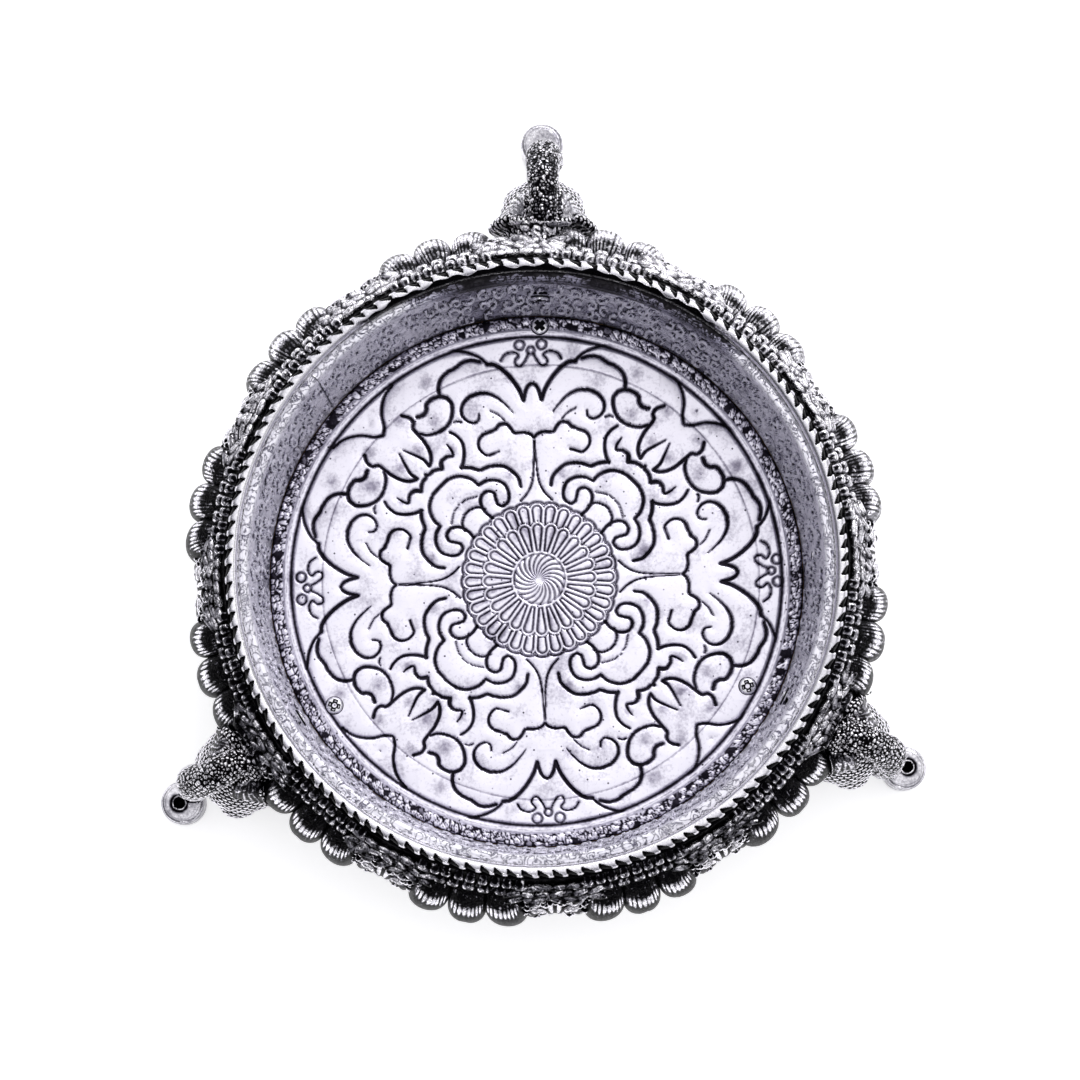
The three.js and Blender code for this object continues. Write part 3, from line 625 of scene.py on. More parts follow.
def floor_relief(x, y):
    """Rise over the floor's plane and darkness, over the whole floor sheet."""
    turn = math.radians(-MEDALLION_TURN)
    from_centre = np.stack([x - MEDALLION_CENTRE[0], y - MEDALLION_CENTRE[1]], 1)
    own = from_centre @ np.array([[math.cos(turn), math.sin(turn)], [-math.sin(turn), math.cos(turn)]])
    own_radius = np.hypot(*own.T)
    radius = np.hypot(x, y)
    rise, dark = medallion(*own.T)
    petals, wax_and_shade = rosette(*own.T)
    petal_tips = np.abs(np.cos(16 * np.arctan2(own[:, 1], own[:, 0]))) ** 0.6
    scallop = ROSETTE_RADIUS + 0.8 * petal_tips
    round_rosette = np.exp(-(((own_radius - scallop - 0.2) / 0.36) ** 2))
    rise = np.where(own_radius < scallop - 0.3, petals, rise) - 0.6 * round_rosette
    dark = np.where(own_radius < scallop - 0.3, wax_and_shade, dark)
    dark = np.maximum(dark, 0.85 * round_rosette)
    # A scribed circle that the die-maker left, a little off the medallion's centre
    scribed = np.exp(-(((np.hypot(x - 1.4, y + 0.6) - SCRIBED_RADIUS) / 0.28) ** 2))
    rise -= 0.12 * scribed
    dark += 0.4 * scribed
    # Groove round the field, plain ring, and border of crumbled pearls
    ring = ease(GROOVE_RADIUS + 0.3, GROOVE_RADIUS + 0.8, radius)
    bearing = np.arctan2(y, x)
    wander = 1.6 * np.sin(bearing * 17) + np.sin(bearing * 43 + 1) + 0.6 * np.sin(bearing * 131)
    streaks = np.sin(radius * 6 + wander)
    rise = rise * (1 - ring) + 0.62 * ring
    dark = dark * (1 - ring) + ring * (0.3 * ease(0.2, 1.0, streaks) - 0.05)
    groove = np.exp(-(((radius - GROOVE_RADIUS) / 0.62) ** 2))
    rise -= 0.6 * groove
    dark = np.maximum(dark, 0.92 * groove)
    places = np.column_stack([x, y, np.zeros(len(x))])
    border, grain = grains(places, 2.4)
    pearl = ease(0.06, 0.4, border) * (0.45 + 0.55 * grain)
    within = ease(BORDER_INSIDE, BORDER_INSIDE + 0.5, radius)
    within *= 1 - ease(BORDER_OUTSIDE, BORDER_OUTSIDE + 0.7, radius)
    before = 1 - ease(BORDER_INSIDE - 0.1, BORDER_INSIDE + 0.3, radius)
    rise = rise * before + within * (0.35 + 0.32 * pearl)
    crumbs, _ = grains(places + 7.0, 1.1)
    speckled = 0.95 - 1.05 * ease(0.04, 0.12, border) * ease(0.0, 0.16, grain)
    speckled = np.maximum(speckled, 0.75 - 0.75 * ease(0.03, 0.09, crumbs))
    edge = ease(BORDER_OUTSIDE + 0.1, BORDER_OUTSIDE + 0.6, radius)
    dark = dark * before + within * speckled + 0.9 * edge
    return rise, dark


def pressed_floor(material):
    """The floor sheet: a disc of rings that double their points outwards, with its edge and underside."""
    bands = ((0.4, 20.0, 360), (20.0, 45.0, 720), (45.0, HOOP_FOOT_RADIUS - CLEARANCE, 1440))
    spacing = 0.38
    rings = []
    for inner, outer, columns in bands:
        steps = max(2, round((outer - inner) / spacing))
        radii = inner + (outer - inner) * np.arange(steps) / steps
        rings.extend((radius, columns) for radius in radii)
    edge, most = bands[-1][1:]
    rings.append((edge, most))
    places = np.concatenate([polar(r, np.arange(n) * 360 / n, 0.0)[:, :2] for r, n in rings])
    rise, dark = floor_relief(*places.T)
    underside = polar(edge, np.arange(most) * 360 / most, FLOOR_BOTTOM)
    top = np.column_stack([places, FLOOR_TOP + rise])
    count = len(top)
    points = np.concatenate([top, underside, [[0, 0, FLOOR_TOP + 0.8]], [[0, 0, FLOOR_BOTTOM]]])
    quads = []
    triangles = []
    start = 0
    for (_, n), (_, after) in zip(rings, rings[1:]):
        own = np.arange(n)
        turn = (own + 1) % n
        beyond = start + n
        if after == n:
            quads.append(np.stack([start + own, beyond + own, beyond + turn, start + turn], 1))
        else:
            half = beyond + 2 * own + 1
            nexts = beyond + (2 * own + 2) % after
            triangles.append(np.stack([start + own, beyond + 2 * own, half], 1))
            triangles.append(np.stack([start + own, half, start + turn], 1))
            triangles.append(np.stack([start + turn, half, nexts], 1))
        start = beyond
    own = np.arange(most)
    turn = (own + 1) % most
    quads.append(np.stack([start + own, count + own, count + turn, start + turn], 1))
    triangles.append(np.stack([np.full(most, count + most + 1), count + turn, count + own], 1))
    least = rings[0][1]
    first = np.arange(least)
    triangles.append(np.stack([np.full(least, count + most), first, (first + 1) % least], 1))
    piece = build("pressed_floor", [(points, np.concatenate(quads), np.concatenate(triangles))])
    mark(piece, "dark", np.concatenate([dark, np.full(most, 0.5), [0.0, 0.5]]))
    dress(piece, material, "floor_metal", "floor_sheet")


def scroll_relief(around, height):
    """Tall C and S scrolls all over the hoop: 1 on a scroll's line and 0 off it. The places are a grid of
    distances round the hoop and heights, in millimetres."""
    chance = np.random.default_rng(11)
    pitch, tallness, rows = 4.9, 3.2, 3
    columns = round(around.max() / pitch)
    grain = height / tallness
    lines = np.zeros(around.shape)
    across, up = around[0], grain[:, 0]
    low, high = up[0] + 0.8, up[-1] - 0.8
    for row in range(rows):
        for column in range(columns):
            middle = (column + 0.5 * (row % 2) + chance.uniform(0.2, 0.8)) * pitch
            level = low + (high - low) * (row + chance.uniform(0.3, 0.7)) / rows
            first_column, last_column = np.searchsorted(across, (middle - 3.6, middle + 3.6))
            first_row, last_row = np.searchsorted(up, (level - 3.6, level + 3.6))
            part = np.s_[first_row:last_row, first_column:last_column]
            t = np.linspace(0, 1, 14)
            turn = chance.uniform(0, 2 * np.pi) + chance.choice([-1, 1]) * t * chance.uniform(3.8, 6.2)
            radius = chance.uniform(1.8, 2.5) * (1 - 0.68 * t)
            path = np.stack([middle + radius * np.cos(turn), level + radius * np.sin(turn)], 1)
            places = np.stack([around[part].ravel(), grain[part].ravel()], 1)
            if len(places):
                distance, along = nearest_on(path, places)
                line = 1 - ease(0.2, 0.75, distance / (1.2 - 0.4 * along))
                lines[part] = np.maximum(lines[part], line.reshape(lines[part].shape))
    return lines


def pressed_hoop(material):
    """An upright band pressed with scrolls, butted at its seam, with its lip rolled out to the rope."""
    half_gap = math.degrees(SEAM_GAP / 2 / HOOP_TOP_RADIUS)
    columns = 1440
    bearings = SEAM_BEARING + half_gap + (360 - 2 * half_gap) * np.linspace(0, 1, columns)
    heights = np.arange(FLOOR_BOTTOM + 0.1, WALL_TOP - 0.6, 0.75)
    draft = (HOOP_TOP_RADIUS - HOOP_FOOT_RADIUS) / (WALL_TOP - FLOOR_TOP)
    wall = np.stack([HOOP_FOOT_RADIUS + draft * (heights - FLOOR_TOP), heights], 1)
    edge = ROPE_INSIDE - CLEARANCE
    roll = [wall[-1], (96.5, 57.3), (97.1, 57.95), (98.1, 58.15), (99.2, 58.0), (edge, 57.8)]
    lip = smooth_path(roll, 0.28)
    back = [(edge, WALL_TOP + CLEARANCE), (98.4, WALL_TOP + CLEARANCE), (HOOP_TOP_RADIUS + SHEET, 55.4)]
    back.append((HOOP_FOOT_RADIUS + SHEET, FLOOR_BOTTOM + 0.1))
    profile = np.concatenate([wall[:-1], lip, back])
    radius = np.repeat(profile[:, :1], columns, 1)
    z = np.repeat(profile[:, 1:], columns, 1)
    around = np.repeat(np.radians(bearings - bearings[0])[None] * HOOP_MIDDLE, len(profile), 0)
    relief = np.zeros(radius.shape)
    count = len(wall) - 1
    relief[:count] = scroll_relief(around[:count], z[:count])
    fade = ease(FLOOR_TOP + 1, FLOOR_TOP + 3.5, z) * (1 - ease(WALL_TOP - 5, WALL_TOP - 2.5, z))
    # Drawn lines run round the lip and wander a little
    wander = 1.1 * np.sin(around / 17) + 0.7 * np.sin(around / 7.3 + 2)
    wander += 0.4 * np.sin(around / 3.1 + radius)
    drawn = np.sin((radius + z) * 7.5 + wander * 1.6)
    on_lip = ease(WALL_TOP - 4.5, WALL_TOP - 2, z)
    worked = np.zeros(radius.shape)
    worked[: count + len(lip)] = 1
    radius = radius - worked * ((0.95 * relief - 0.3) * fade)
    z = z + worked * ease(97.0, 97.6, radius) * 0.06 * drawn
    hole = np.zeros(radius.shape)
    for bearing, height, size in (
        (PIN_HOLE_BEARING, HOLE_HEIGHT, 0.95),
        (RIVET_BEARING, HOLE_HEIGHT, 1.2),
        *((casting.bearing, WALL_SCREW_HEIGHT, 2.6) for casting in ELEPHANTS.values()),
    ):
        turn = (bearings - bearing + 180) % 360 - 180
        away = np.hypot(np.radians(turn) * HOOP_MIDDLE, z - height)
        hole = np.maximum(hole, worked * (1 - ease(size - 0.35, size + 0.1, away)))
    radius = radius + 0.6 * hole
    seam = np.exp(-(np.minimum(around, around.max() - around) / 0.4) ** 2)
    # Painted reflections: broad cloudy patches, brighter and darker
    patches = np.sin(around / 9.5 + 1.5 * np.sin(z / 7)) * np.sin(z / 8 + around / 23)
    # Painted shade and highlights: the hoop is darker at the back, between bearings 40 and 118, and its
    # pressed tops are painted brighter there
    behind = ease(40, 58, bearings % 360) * (1 - ease(98, 118, bearings % 360))
    dark = 0.06 + 0.3 * behind - 0.22 * patches
    outline = np.exp(-(((relief - 0.2) / 0.2) ** 2)) * (relief > 0.005)
    dark = dark + fade * (0.9 * outline - (0.45 + 0.4 * behind) * ease(0.4, 0.8, relief))
    dark = dark + on_lip * (0.22 * ease(0.35, 0.95, drawn) - 0.16) + 0.15 * seam
    # Painted shade in the corner at the hoop's foot, darker towards the floor
    dark = dark + 0.3 * (1 - ease(FLOOR_TOP, FLOOR_TOP + 4, z))
    # Painted shade between the lip and the rope at the back, with a ragged edge, and the lip painted darker
    # there
    packed = 0.5 * np.sin(around * 0.31) + 0.4 * np.sin(around * 0.83 + 1) + 0.3 * np.sin(around * 2.3)
    dark = dark + behind * on_lip * 0.5 + 1.2 * behind * ease(98.6, 98.8, radius + packed) * worked
    dark = np.maximum(dark, hole)
    points = polar(radius, bearings[None], z).reshape(-1, 3)
    rows = len(profile)
    quads = grid_quads(rows, columns, wrap_rows=True, wrap_columns=False)[:, ::-1]
    start = np.arange(rows) * columns
    ends = (start, (start + columns - 1)[::-1])
    caps = [np.stack([np.full(rows - 2, loop[0]), loop[1:-1], loop[2:]], 1) for loop in ends]
    piece = build("pressed_hoop", [(points, quads, np.concatenate(caps))])
    mark(piece, "dark", dark.ravel())
    dress(piece, material, "hoop_metal", "inner_hoop")


def twisted_rope(material):
    """The rim's rope: pillows that overlap like a twisted strand, run together on the inside and parted
    on the outside by black notches, each straight on one side and rounded on the other."""
    columns, rows = ROPE_STRANDS * 18, 40
    bearing = np.arange(columns) * 360 / columns
    section = np.radians(np.linspace(-90, 270, rows, endpoint=False))[:, None]
    outward = 0.5 + 0.5 * np.cos(section)
    lean = 0.15 * ease(0.55, 0.0, outward) - 0.1 * ease(0.7, 1.0, outward)
    uneven = 0.12 * np.sin(np.radians(bearing * 11)) + 0.08 * np.sin(np.radians(bearing * 29 + 40))
    phase = (bearing[None] * ROPE_STRANDS / 360 + uneven + lean) % 1
    width = 0.04 + 0.62 * np.clip((outward - 0.32) / 0.45, 0, 1)
    notch = np.clip(1 - phase / width, 0, 1) ** 0.8 * ease(0, 0.07, phase)
    crease = np.exp(-((np.minimum(phase, 1 - phase) / 0.05) ** 2))
    pillow = np.sqrt(np.clip(1 - ((phase - 0.55) ** 2) * 3.2, 0, 1))
    parted = ease(0.3, 0.6, outward)
    radius = ROPE_RADIUS - (0.1 + 0.7 * outward) * notch - (0.1 * crease + 0.2 * (1 - pillow)) * parted
    middle = WALL_TOP + CLEARANCE + ROPE_RADIUS * 0.82
    z = np.maximum(middle + radius * np.sin(section), WALL_TOP + CLEARANCE)
    ring = ROPE_INSIDE + ROPE_RADIUS + radius * np.cos(section)
    points = polar(ring, bearing[None], z).reshape(-1, 3)
    piece = build("twisted_rope", [(points, grid_quads(rows, columns, wrap_rows=True), NO_TRIANGLES)])
    mark_hollows(piece, 8)
    black = ease(0.02, 0.2, notch) * ease(0.33, 0.42, outward)
    polish_and_shade = 1.6 * (1 - outward) + 2.6 - 14 * black - 2.0 * crease * ease(0.45, 0.8, outward)
    # Painted shade: the rope's inner underside is black at the back, between bearings 42 and 130, with a
    # ragged edge
    behind = ease(42, 60, bearing) * (1 - ease(112, 130, bearing))
    ragged = 0.1 * np.sin(np.radians(bearing * 37)) + 0.09 * np.sin(np.radians(bearing * 83 + 60))
    polish_and_shade -= 12 * behind * ease(0.34, 0.2, outward + ragged)
    mark(piece, "polish_and_shade", polish_and_shade.ravel())
    dress(piece, material, "rope_metal", "rope_rim")


GROUND_CURVE = smooth_path(WALL_GROUND, 0.4)


def ground(z):
    """Radius of the cast wall's ground at a height."""
    return np.interp(z, GROUND_CURVE[:, 1], GROUND_CURVE[:, 0])


def on_wall(bearing, along, z, rise):
    """Points over the wall's ground, some millimetres along it from a bearing."""
    radius = ground(z) + rise
    return polar(radius, bearing + np.degrees(along / radius), z)


def near_elephant(bearing, reach):
    """Whether a bearing is within reach degrees of an elephant."""
    turns = [(bearing - casting.bearing + 180) % 360 - 180 for casting in ELEPHANTS.values()]
    return min(map(abs, turns)) < reach


def relief_rise(bearing, z):
    """How far the petals and pointed leaves stand over the wall's ground."""
    offset = (bearing + 180 / SECTORS) % (360 / SECTORS) - 180 / SECTORS
    from_cluster = 180 / SECTORS - np.abs(offset)
    upward = ((z - 33) / 17) ** 2
    rise = 4.6 * np.sqrt(np.clip(1 - (offset / 4.6) ** 2 - ((z - 34) / 15) ** 2, 0, 1))
    for middle in (0, 6):
        petal = 9.3 * np.clip(1 - ((from_cluster - middle) / 3.5) ** 2, 0, 1) ** 0.25
        petal = petal * np.sqrt(np.clip(1 - upward, 0, 1))
        rise = np.maximum(rise, petal)
    return rise


# Degrees aside from a cluster's middle, lean, half width and rise of its petals, the middle one on top
LOTUS_PETALS = (
    (-5.673, -0.16, 6.7, 8.4),
    (5.673, 0.16, 6.7, 8.4),
    (0, 0, 6.9, 9.2),
)
PETAL_SCORES = 0.26  # depth of the lines scored in them
CLUSTERS = [(k + 0.5) * 360 / SECTORS for k in range(SECTORS)]
GAPS = [k * 360 / SECTORS for k in range(SECTORS)]


def wall_ground():
    """The wall itself, with fluting over its foot and a punched ground between the petals."""
    columns = 1440
    outer = GROUND_CURVE[np.unique(np.linspace(0, len(GROUND_CURVE) - 1, 110).astype(int))]
    inside = HOOP_TOP_RADIUS + SHEET + CLEARANCE
    inner_foot = HOOP_FOOT_RADIUS + SHEET + CLEARANCE
    top = [(103.2, WALL_TOP), (100, WALL_TOP), (inside, WALL_TOP)]
    bore = [(inner_foot, FLOOR_BOTTOM), (inner_foot, 0), (98, 0)]
    profile = np.concatenate([outer, top, bore])
    bearing = np.arange(columns) * 360 / columns
    radius = np.repeat(profile[:, :1], columns, 1)
    z = np.repeat(profile[:, 1:], columns, 1)
    shown = np.zeros(radius.shape)
    shown[3 : len(outer) - 2] = 1
    flute = np.abs(np.cos(np.radians(bearing * SECTORS * 4)))[None]
    fluted = ease(3.5, 5.5, z) * (1 - ease(12.5, 15.5, z))
    radius = radius + shown * fluted * (0.9 * np.sqrt(flute) - 0.6)
    moulding = np.exp(-(((z - 2.2) / 1.1) ** 2)) * 0.5 - np.exp(-(((z - 15.8) / 0.6) ** 2)) * 0.5
    radius = radius + shown * moulding
    points = polar(radius, bearing[None], z).reshape(-1, 3)
    border, _ = grains(points, 1.5)
    punched = (ease(0.05, 0.45, border) - 0.6) * 0.35 * (shown * ease(16, 18, z)).ravel()
    points[:, :2] *= (1 + punched / np.hypot(points[:, 0], points[:, 1]))[:, None]
    # Flat seats for the elephants' necks
    for casting in ELEPHANTS.values():
        own = turned(points, -casting.bearing)
        behind = (own[:, 0] > SEAT_RADIUS) & (np.abs(own[:, 1]) < 8.6) & (own[:, 2] < 46.5)
        own[behind, 0] = SEAT_RADIUS
        points = turned(own, casting.bearing)
    return points, grid_quads(len(profile), columns, wrap_rows=True), NO_TRIANGLES


def lotus_petals():
    """Three plump petals in each cluster, scored like a shell and splayed, widest above the middle."""
    rows, columns = 38, 132
    latitude, longitude = ball_angles(rows, columns)
    t = latitude / np.pi + 0.5
    width = np.sin(np.pi * t**1.1) ** 0.5
    swell = np.sin(np.pi * t**0.95) ** 0.7
    flute = 0.5 - 0.5 * np.cos(longitude * 24 + 5 * np.abs(np.sin(longitude)) * t)
    groove = PETAL_SCORES * flute**2 * (0.15 + 0.85 * ease(0.12, 0.6, np.sin(latitude)))
    groove = groove * (0.35 + 0.65 * ease(-0.3, 0.5, np.sin(longitude * 5 + 6 * t)))
    groove = groove * np.cos(latitude) ** 0.5 * (np.cos(longitude) > -0.2)
    chance = np.random.default_rng(17)
    petals = []
    for cluster in CLUSTERS:
        for offset, lean, half, rise in LOTUS_PETALS:
            lean = lean + chance.uniform(-0.05, 0.05)
            half = half * chance.uniform(0.94, 1.04)
            z = 32.5 + 16.5 * np.sin(latitude) - 0.8 * abs(np.sign(offset))
            out = rise * swell * squared(np.cos(longitude), 0.5) - groove * np.cos(longitude)
            out += 1.2 * np.exp(-(((t - 0.06) / 0.09) ** 2)) * np.cos(longitude)
            side = half * width * np.sin(longitude) + lean * (46 - z)
            shape = on_wall(cluster + offset, side, z, np.maximum(out, -2.5))
            reach = np.hypot(shape[:, 0], shape[:, 1])
            shape[:, :2] *= (np.minimum(reach, 121.2) / reach)[:, None]
            petals.append(shape)
    return copies(np.array(petals), ball_faces(rows, columns)), np.tile(groove / PETAL_SCORES, len(petals))


def squared(values, power):
    """Values between -1 and 1 pushed outwards, so that a ball turns squarish."""
    return np.sign(values) * np.abs(values) ** power


def garlands():
    """Squarish beads over each cluster, in a string that turns down into the gaps, and a string of
    barrels below it, over the petals."""
    latitude, longitude = ball_angles(16, 24)
    radial = squared(np.cos(latitude), 0.55) * squared(np.cos(longitude), 0.6)
    across = squared(np.cos(latitude), 0.55) * squared(np.sin(longitude), 0.6)
    upward = squared(np.sin(latitude), 0.6)
    chance = np.random.default_rng(3)
    beads = []
    for cluster in CLUSTERS:
        for place in range(-5, 6):
            turn = 2.2 * place + chance.uniform(-0.12, 0.12)
            droop = max(0, abs(place) - 4)
            size = (1.0 - 0.1 * droop) * chance.uniform(0.92, 1.04)
            z = 54.9 - 0.25 * abs(place) - 2.2 * droop + 2.1 * size * upward
            out = 105.9 + 0.012 * place**2 + 0.9 * droop + 2.2 * size * radial
            beads.append(polar(out, cluster + turn + np.degrees(1.75 * size * across / 105.6), z))
        for place in range(-3, 4):
            turn = 2.75 * place + chance.uniform(-0.2, 0.2)
            out = 108.3 + 2.3 * radial
            turn = turn + np.degrees(2.2 * across / 108)
            beads.append(polar(out, cluster + turn, 50.6 - 0.45 * abs(place) + 2.2 * np.sin(latitude)))
    return copies(np.array(beads), ball_faces(16, 24))


def tube(path, radii, columns, up=(0, 0, 1)):
    """Points of a closed round limb along a path."""
    ahead = np.gradient(path, axis=0)
    ahead /= np.linalg.norm(ahead, axis=1)[:, None]
    side = np.cross(np.asarray(up, float), ahead)
    side /= np.linalg.norm(side, axis=1)[:, None]
    third = np.cross(ahead, side)
    angle = np.arange(columns) * 2 * np.pi / columns
    ring = side[:, None] * np.cos(angle)[:, None] + third[:, None] * np.sin(angle)[:, None]
    rings = path[:, None] + ring * np.asarray(radii, float).reshape(-1, 1, 1)
    first = path[:1] - ahead[:1] * radii[0] * 0.4
    last = path[-1:] + ahead[-1:] * radii[-1] * 0.4
    return np.concatenate([first, rings.reshape(-1, 3), last])


def wall_tube(bearing, points):
    """A tube lying on the wall, from points of millimetres along, height, rise and radius."""
    columns = 14
    along, z, rise, radii = smooth_path(points, 0.5).T
    path = on_wall(bearing, along, z, rise)
    outward = path.mean(0) * (1, 1, 0)
    return copies(tube(path, radii, columns, outward)[None], ball_faces(len(path), columns))


# Radius, height and number of leaves in each row, and how far at most a leaf slants
CAP_ROWS = (
    (107.3, 53.9, 6, 0.16),
    (109.4, 51.6, 7, 0.45),
    (111.3, 48.8, 7, 0.6),
)


def cap_leaves():
    """Slim leaves lapped over each other above the gaps, split from the rope by a deep channel, painted black
    as shade.
    """
    chance = np.random.default_rng(41)
    t = np.linspace(-1, 1, 14)
    leaves = []
    for gap in GAPS:
        for radius, z, count, most in CAP_ROWS:
            for k in range(count):
                middle = gap + (k - (count - 1) / 2) * 2.35 + chance.uniform(-0.5, 0.5)
                slant = chance.uniform(0.3, 1.0) * most * chance.choice([-1, 1])
                bow = chance.uniform(0.2, 0.9)
                path = polar(
                    radius + slant * 3.4 * t + bow * t**2,
                    middle + np.degrees(3.4 * t / 108),
                    z + chance.uniform(-0.5, 0.5) + chance.uniform(-0.8, 0.8) * t,
                )
                thickness = chance.uniform(1.1, 1.5) * np.sqrt(np.clip(1 - t**2, 0.03, 1))
                leaves.append(tube(path, thickness, 12))
    return copies(np.array(leaves), ball_faces(14, 12))


# The curled stems beside a gap's leaf: millimetres aside, height, rise over the ground and radius
CURLED_STEMS = (
    (
        (2.2, 18, 0.6, 1.0),
        (5.4, 22, 1.6, 1.7),
        (7.6, 28, 2.6, 2.0),
        (7.9, 34, 3.0, 1.9),
        (6.4, 38.5, 3.2, 1.6),
        (4.4, 38.6, 3.4, 1.3),
        (3.9, 36.2, 3.6, 1.0),
        (5.3, 35.2, 3.8, 0.8),
    ),
    (
        (1.2, 47.2, 1.0, 0.8),
        (3.6, 45.0, 2.4, 1.3),
        (6.4, 43.6, 3.3, 1.6),
        (9.0, 44.2, 3.2, 1.3),
        (9.9, 46.6, 2.4, 1.0),
        (8.4, 48.0, 2.0, 0.7),
    ),
)


def gap_leaves():
    """Between the clusters: a wavy pointed leaf, with curled stems on both sides of it."""
    shells = []
    latitude, longitude = ball_angles(46, 40)
    t = latitude / np.pi + 0.5
    outline = np.sin(np.pi * t**0.8) ** 0.85 * (1 + 0.16 * np.cos(t * 31))
    for gap in GAPS:
        if not near_elephant(gap, 5):
            side = 6.6 * outline * np.sin(longitude)
            vein = 0.4 * np.cos(1.5 * (15 * t - np.abs(side) * 1.3)) * np.cos(latitude)
            out = (4.3 * np.cos(latitude) ** 0.7 + vein) * np.cos(longitude)
            out -= 0.9 * np.exp(-((side / 0.6) ** 2)) * np.cos(latitude)
            leaf = on_wall(gap, side, 32 + 15.5 * np.sin(latitude), np.maximum(out, -2))
            shells.append(copies(leaf[None], ball_faces(46, 40)))
        for hand in (-1, 1):
            if near_elephant(gap + hand * 4, 4.5):
                continue
            for stem in CURLED_STEMS:
                shells.append(wall_tube(gap, [(hand * along, *rest) for along, *rest in stem]))
    return shells


# Place beside a gap's middle, height, rise over the ground and number of seeds
SEED_BUNCHES = (
    (8.2, 41.0, 3.4, 9),
    (3.0, 43.5, 3.6, 8),
    (9.5, 26.0, 2.6, 6),
    (1.8, 47.8, 2.6, 7),
    (11.0, 47.0, 2.4, 8),
    (5.6, 31.0, 4.0, 6),
    (10.8, 34.0, 3.6, 7),
)


def seed_clusters():
    """Small bunches of seeds beside each lotus cluster, with the larger ones in a bunch's middle."""
    ball = unit_ball(9, 12).T
    chance = np.random.default_rng(23)
    seeds = []
    for gap in GAPS:
        for hand in (-1, 1):
            for middle, level, rise, count in SEED_BUNCHES:
                bearing = gap + math.degrees(hand * middle / 112)
                if near_elephant(bearing, 4.5):
                    continue
                for k in range(count):
                    turn = k * 2.4
                    away = 1.35 * math.sqrt(k)
                    size = chance.uniform(0.85, 1.2) * (1.25 - 0.05 * k)
                    along = hand * middle + away * math.cos(turn)
                    z = level + away * math.sin(turn) + size * ball[2]
                    lift = rise - 0.12 * away**2 + chance.uniform(-0.3, 0.3)
                    out = ground(level) + lift + size * ball[0]
                    seeds.append(polar(out, gap + np.degrees((along + size * ball[1]) / 112), z))
    return copies(np.array(seeds), ball_faces(9, 12))


def foot_pearls():
    """A row of small pearls over the fluted foot."""
    ball = unit_ball(9, 12).T
    count = SECTORS * 14
    bearing = np.arange(count)[:, None] * 360 / count
    turn = bearing + np.degrees(1.3 * ball[1] / 110)
    return copies(polar(109.7 + 1.15 * ball[0], turn, 15.6 + 1.2 * ball[2]), ball_faces(9, 12))


def relief_wall(material):
    """The cast wall: its ground with everything that stands proud of it."""
    ground_shell = wall_ground()
    petals, scored = lotus_petals()
    raised = [petals, garlands(), seed_clusters(), foot_pearls(), cap_leaves(), *gap_leaves()]
    piece = build("relief_wall", [ground_shell, *raised])
    mark_hollows(piece, 6)
    # Painted shade: the channel under the rope is darkened, and so are the steep faces and the score lines at
    # the front
    x, y, z = np.concatenate([points for points, _, _ in (ground_shell, *raised)]).T
    facing_up = outward_normals(piece)[:, 2]
    front = 1 - ease(-70, 80, 0.35 * x + 0.94 * y)
    polish_and_shade = 1.6 - 2.6 * front * ease(0.6, 0.1, facing_up)
    ground_count = len(ground_shell[0])
    channel = (np.hypot(x, y) > 104) * (1 + 4 * ease(46, 49, z))
    polish_and_shade[:ground_count] -= channel[:ground_count] + 1.4
    scored = 1.5 + scored * (0.5 + 0.9 * front[ground_count : ground_count + len(scored)])
    polish_and_shade[ground_count : ground_count + len(scored)] -= scored
    mark(piece, "polish_and_shade", polish_and_shade)
    dress(piece, material, "cast_metal", "cast_wall")


def fused(shells, grain):
    """One skin over closed shells that run into each other, with its points and outward directions."""
    lump = build("lump", shells)
    joined = lump.modifiers.new("joined", "REMESH")
    joined.mode = "VOXEL"
    joined.voxel_size = grain * METRE
    skin = lump.evaluated_get(bpy.context.evaluated_depsgraph_get()).data
    count = len(skin.vertices)
    places = np.empty(count * 3, np.float32)
    skin.vertices.foreach_get("co", places)
    outward = np.empty(count * 3, np.float32)
    skin.vertex_normals.foreach_get("vector", outward)
    corners = np.empty(len(skin.loops), np.int32)
    skin.loops.foreach_get("vertex_index", corners)
    sides = np.empty(len(skin.polygons), np.int32)
    skin.polygons.foreach_get("loop_total", sides)
    firsts = np.empty(len(skin.polygons), np.int32)
    skin.polygons.foreach_get("loop_start", firsts)
    quads = corners[firsts[sides == 4][:, None] + np.arange(4)]
    triangles = corners[firsts[sides == 3][:, None] + np.arange(3)]
    shared = lump.data
    bpy.data.objects.remove(lump)
    bpy.data.meshes.remove(shared)
    places = places.reshape(-1, 3).astype(float) / METRE
    return places, outward.reshape(-1, 3).astype(float), quads, triangles


def oval(centre, radii, turn=0.0, rows=22, columns=28):
    """A ball grain along x, y and z, turned about its own upright."""
    ball = turned(unit_ball(rows, columns) * radii, turn) + centre
    return copies(ball[None], ball_faces(rows, columns))


def limb(points, columns=28, step=0.8, up=(0, 1, 0)):
    """A limb from points of x, y, z and radius."""
    path = smooth_path(points, step)
    return copies(tube(path[:, :3], path[:, 3], columns, up)[None], ball_faces(len(path), columns))


def lathed(profile, centre=(0, 0, 0), columns=48):
    """A turned solid from radii and heights, which begin and end on its axis, upwards."""
    (_, low), *rings, (_, high) = profile
    rings = np.array(rings)
    bearing = np.arange(columns) * 360 / columns
    body = polar(rings[:, :1], bearing[None], rings[:, 1:]).reshape(-1, 3)
    points = np.concatenate([[[0, 0, low]], body, [[0, 0, high]]]) + centre
    return copies(points[None], ball_faces(len(rings), columns))


def slab(outline, low, high):
    """A plate from an anticlockwise outline of x and y."""
    outline = np.asarray(outline, float)
    count = len(outline)
    middle = outline.mean(0)
    under = np.column_stack([outline, np.full(count, low)])
    over = np.column_stack([outline, np.full(count, high)])
    points = np.concatenate([[[*middle, low]], under, over, [[*middle, high]]])
    return copies(points[None], ball_faces(2, count))


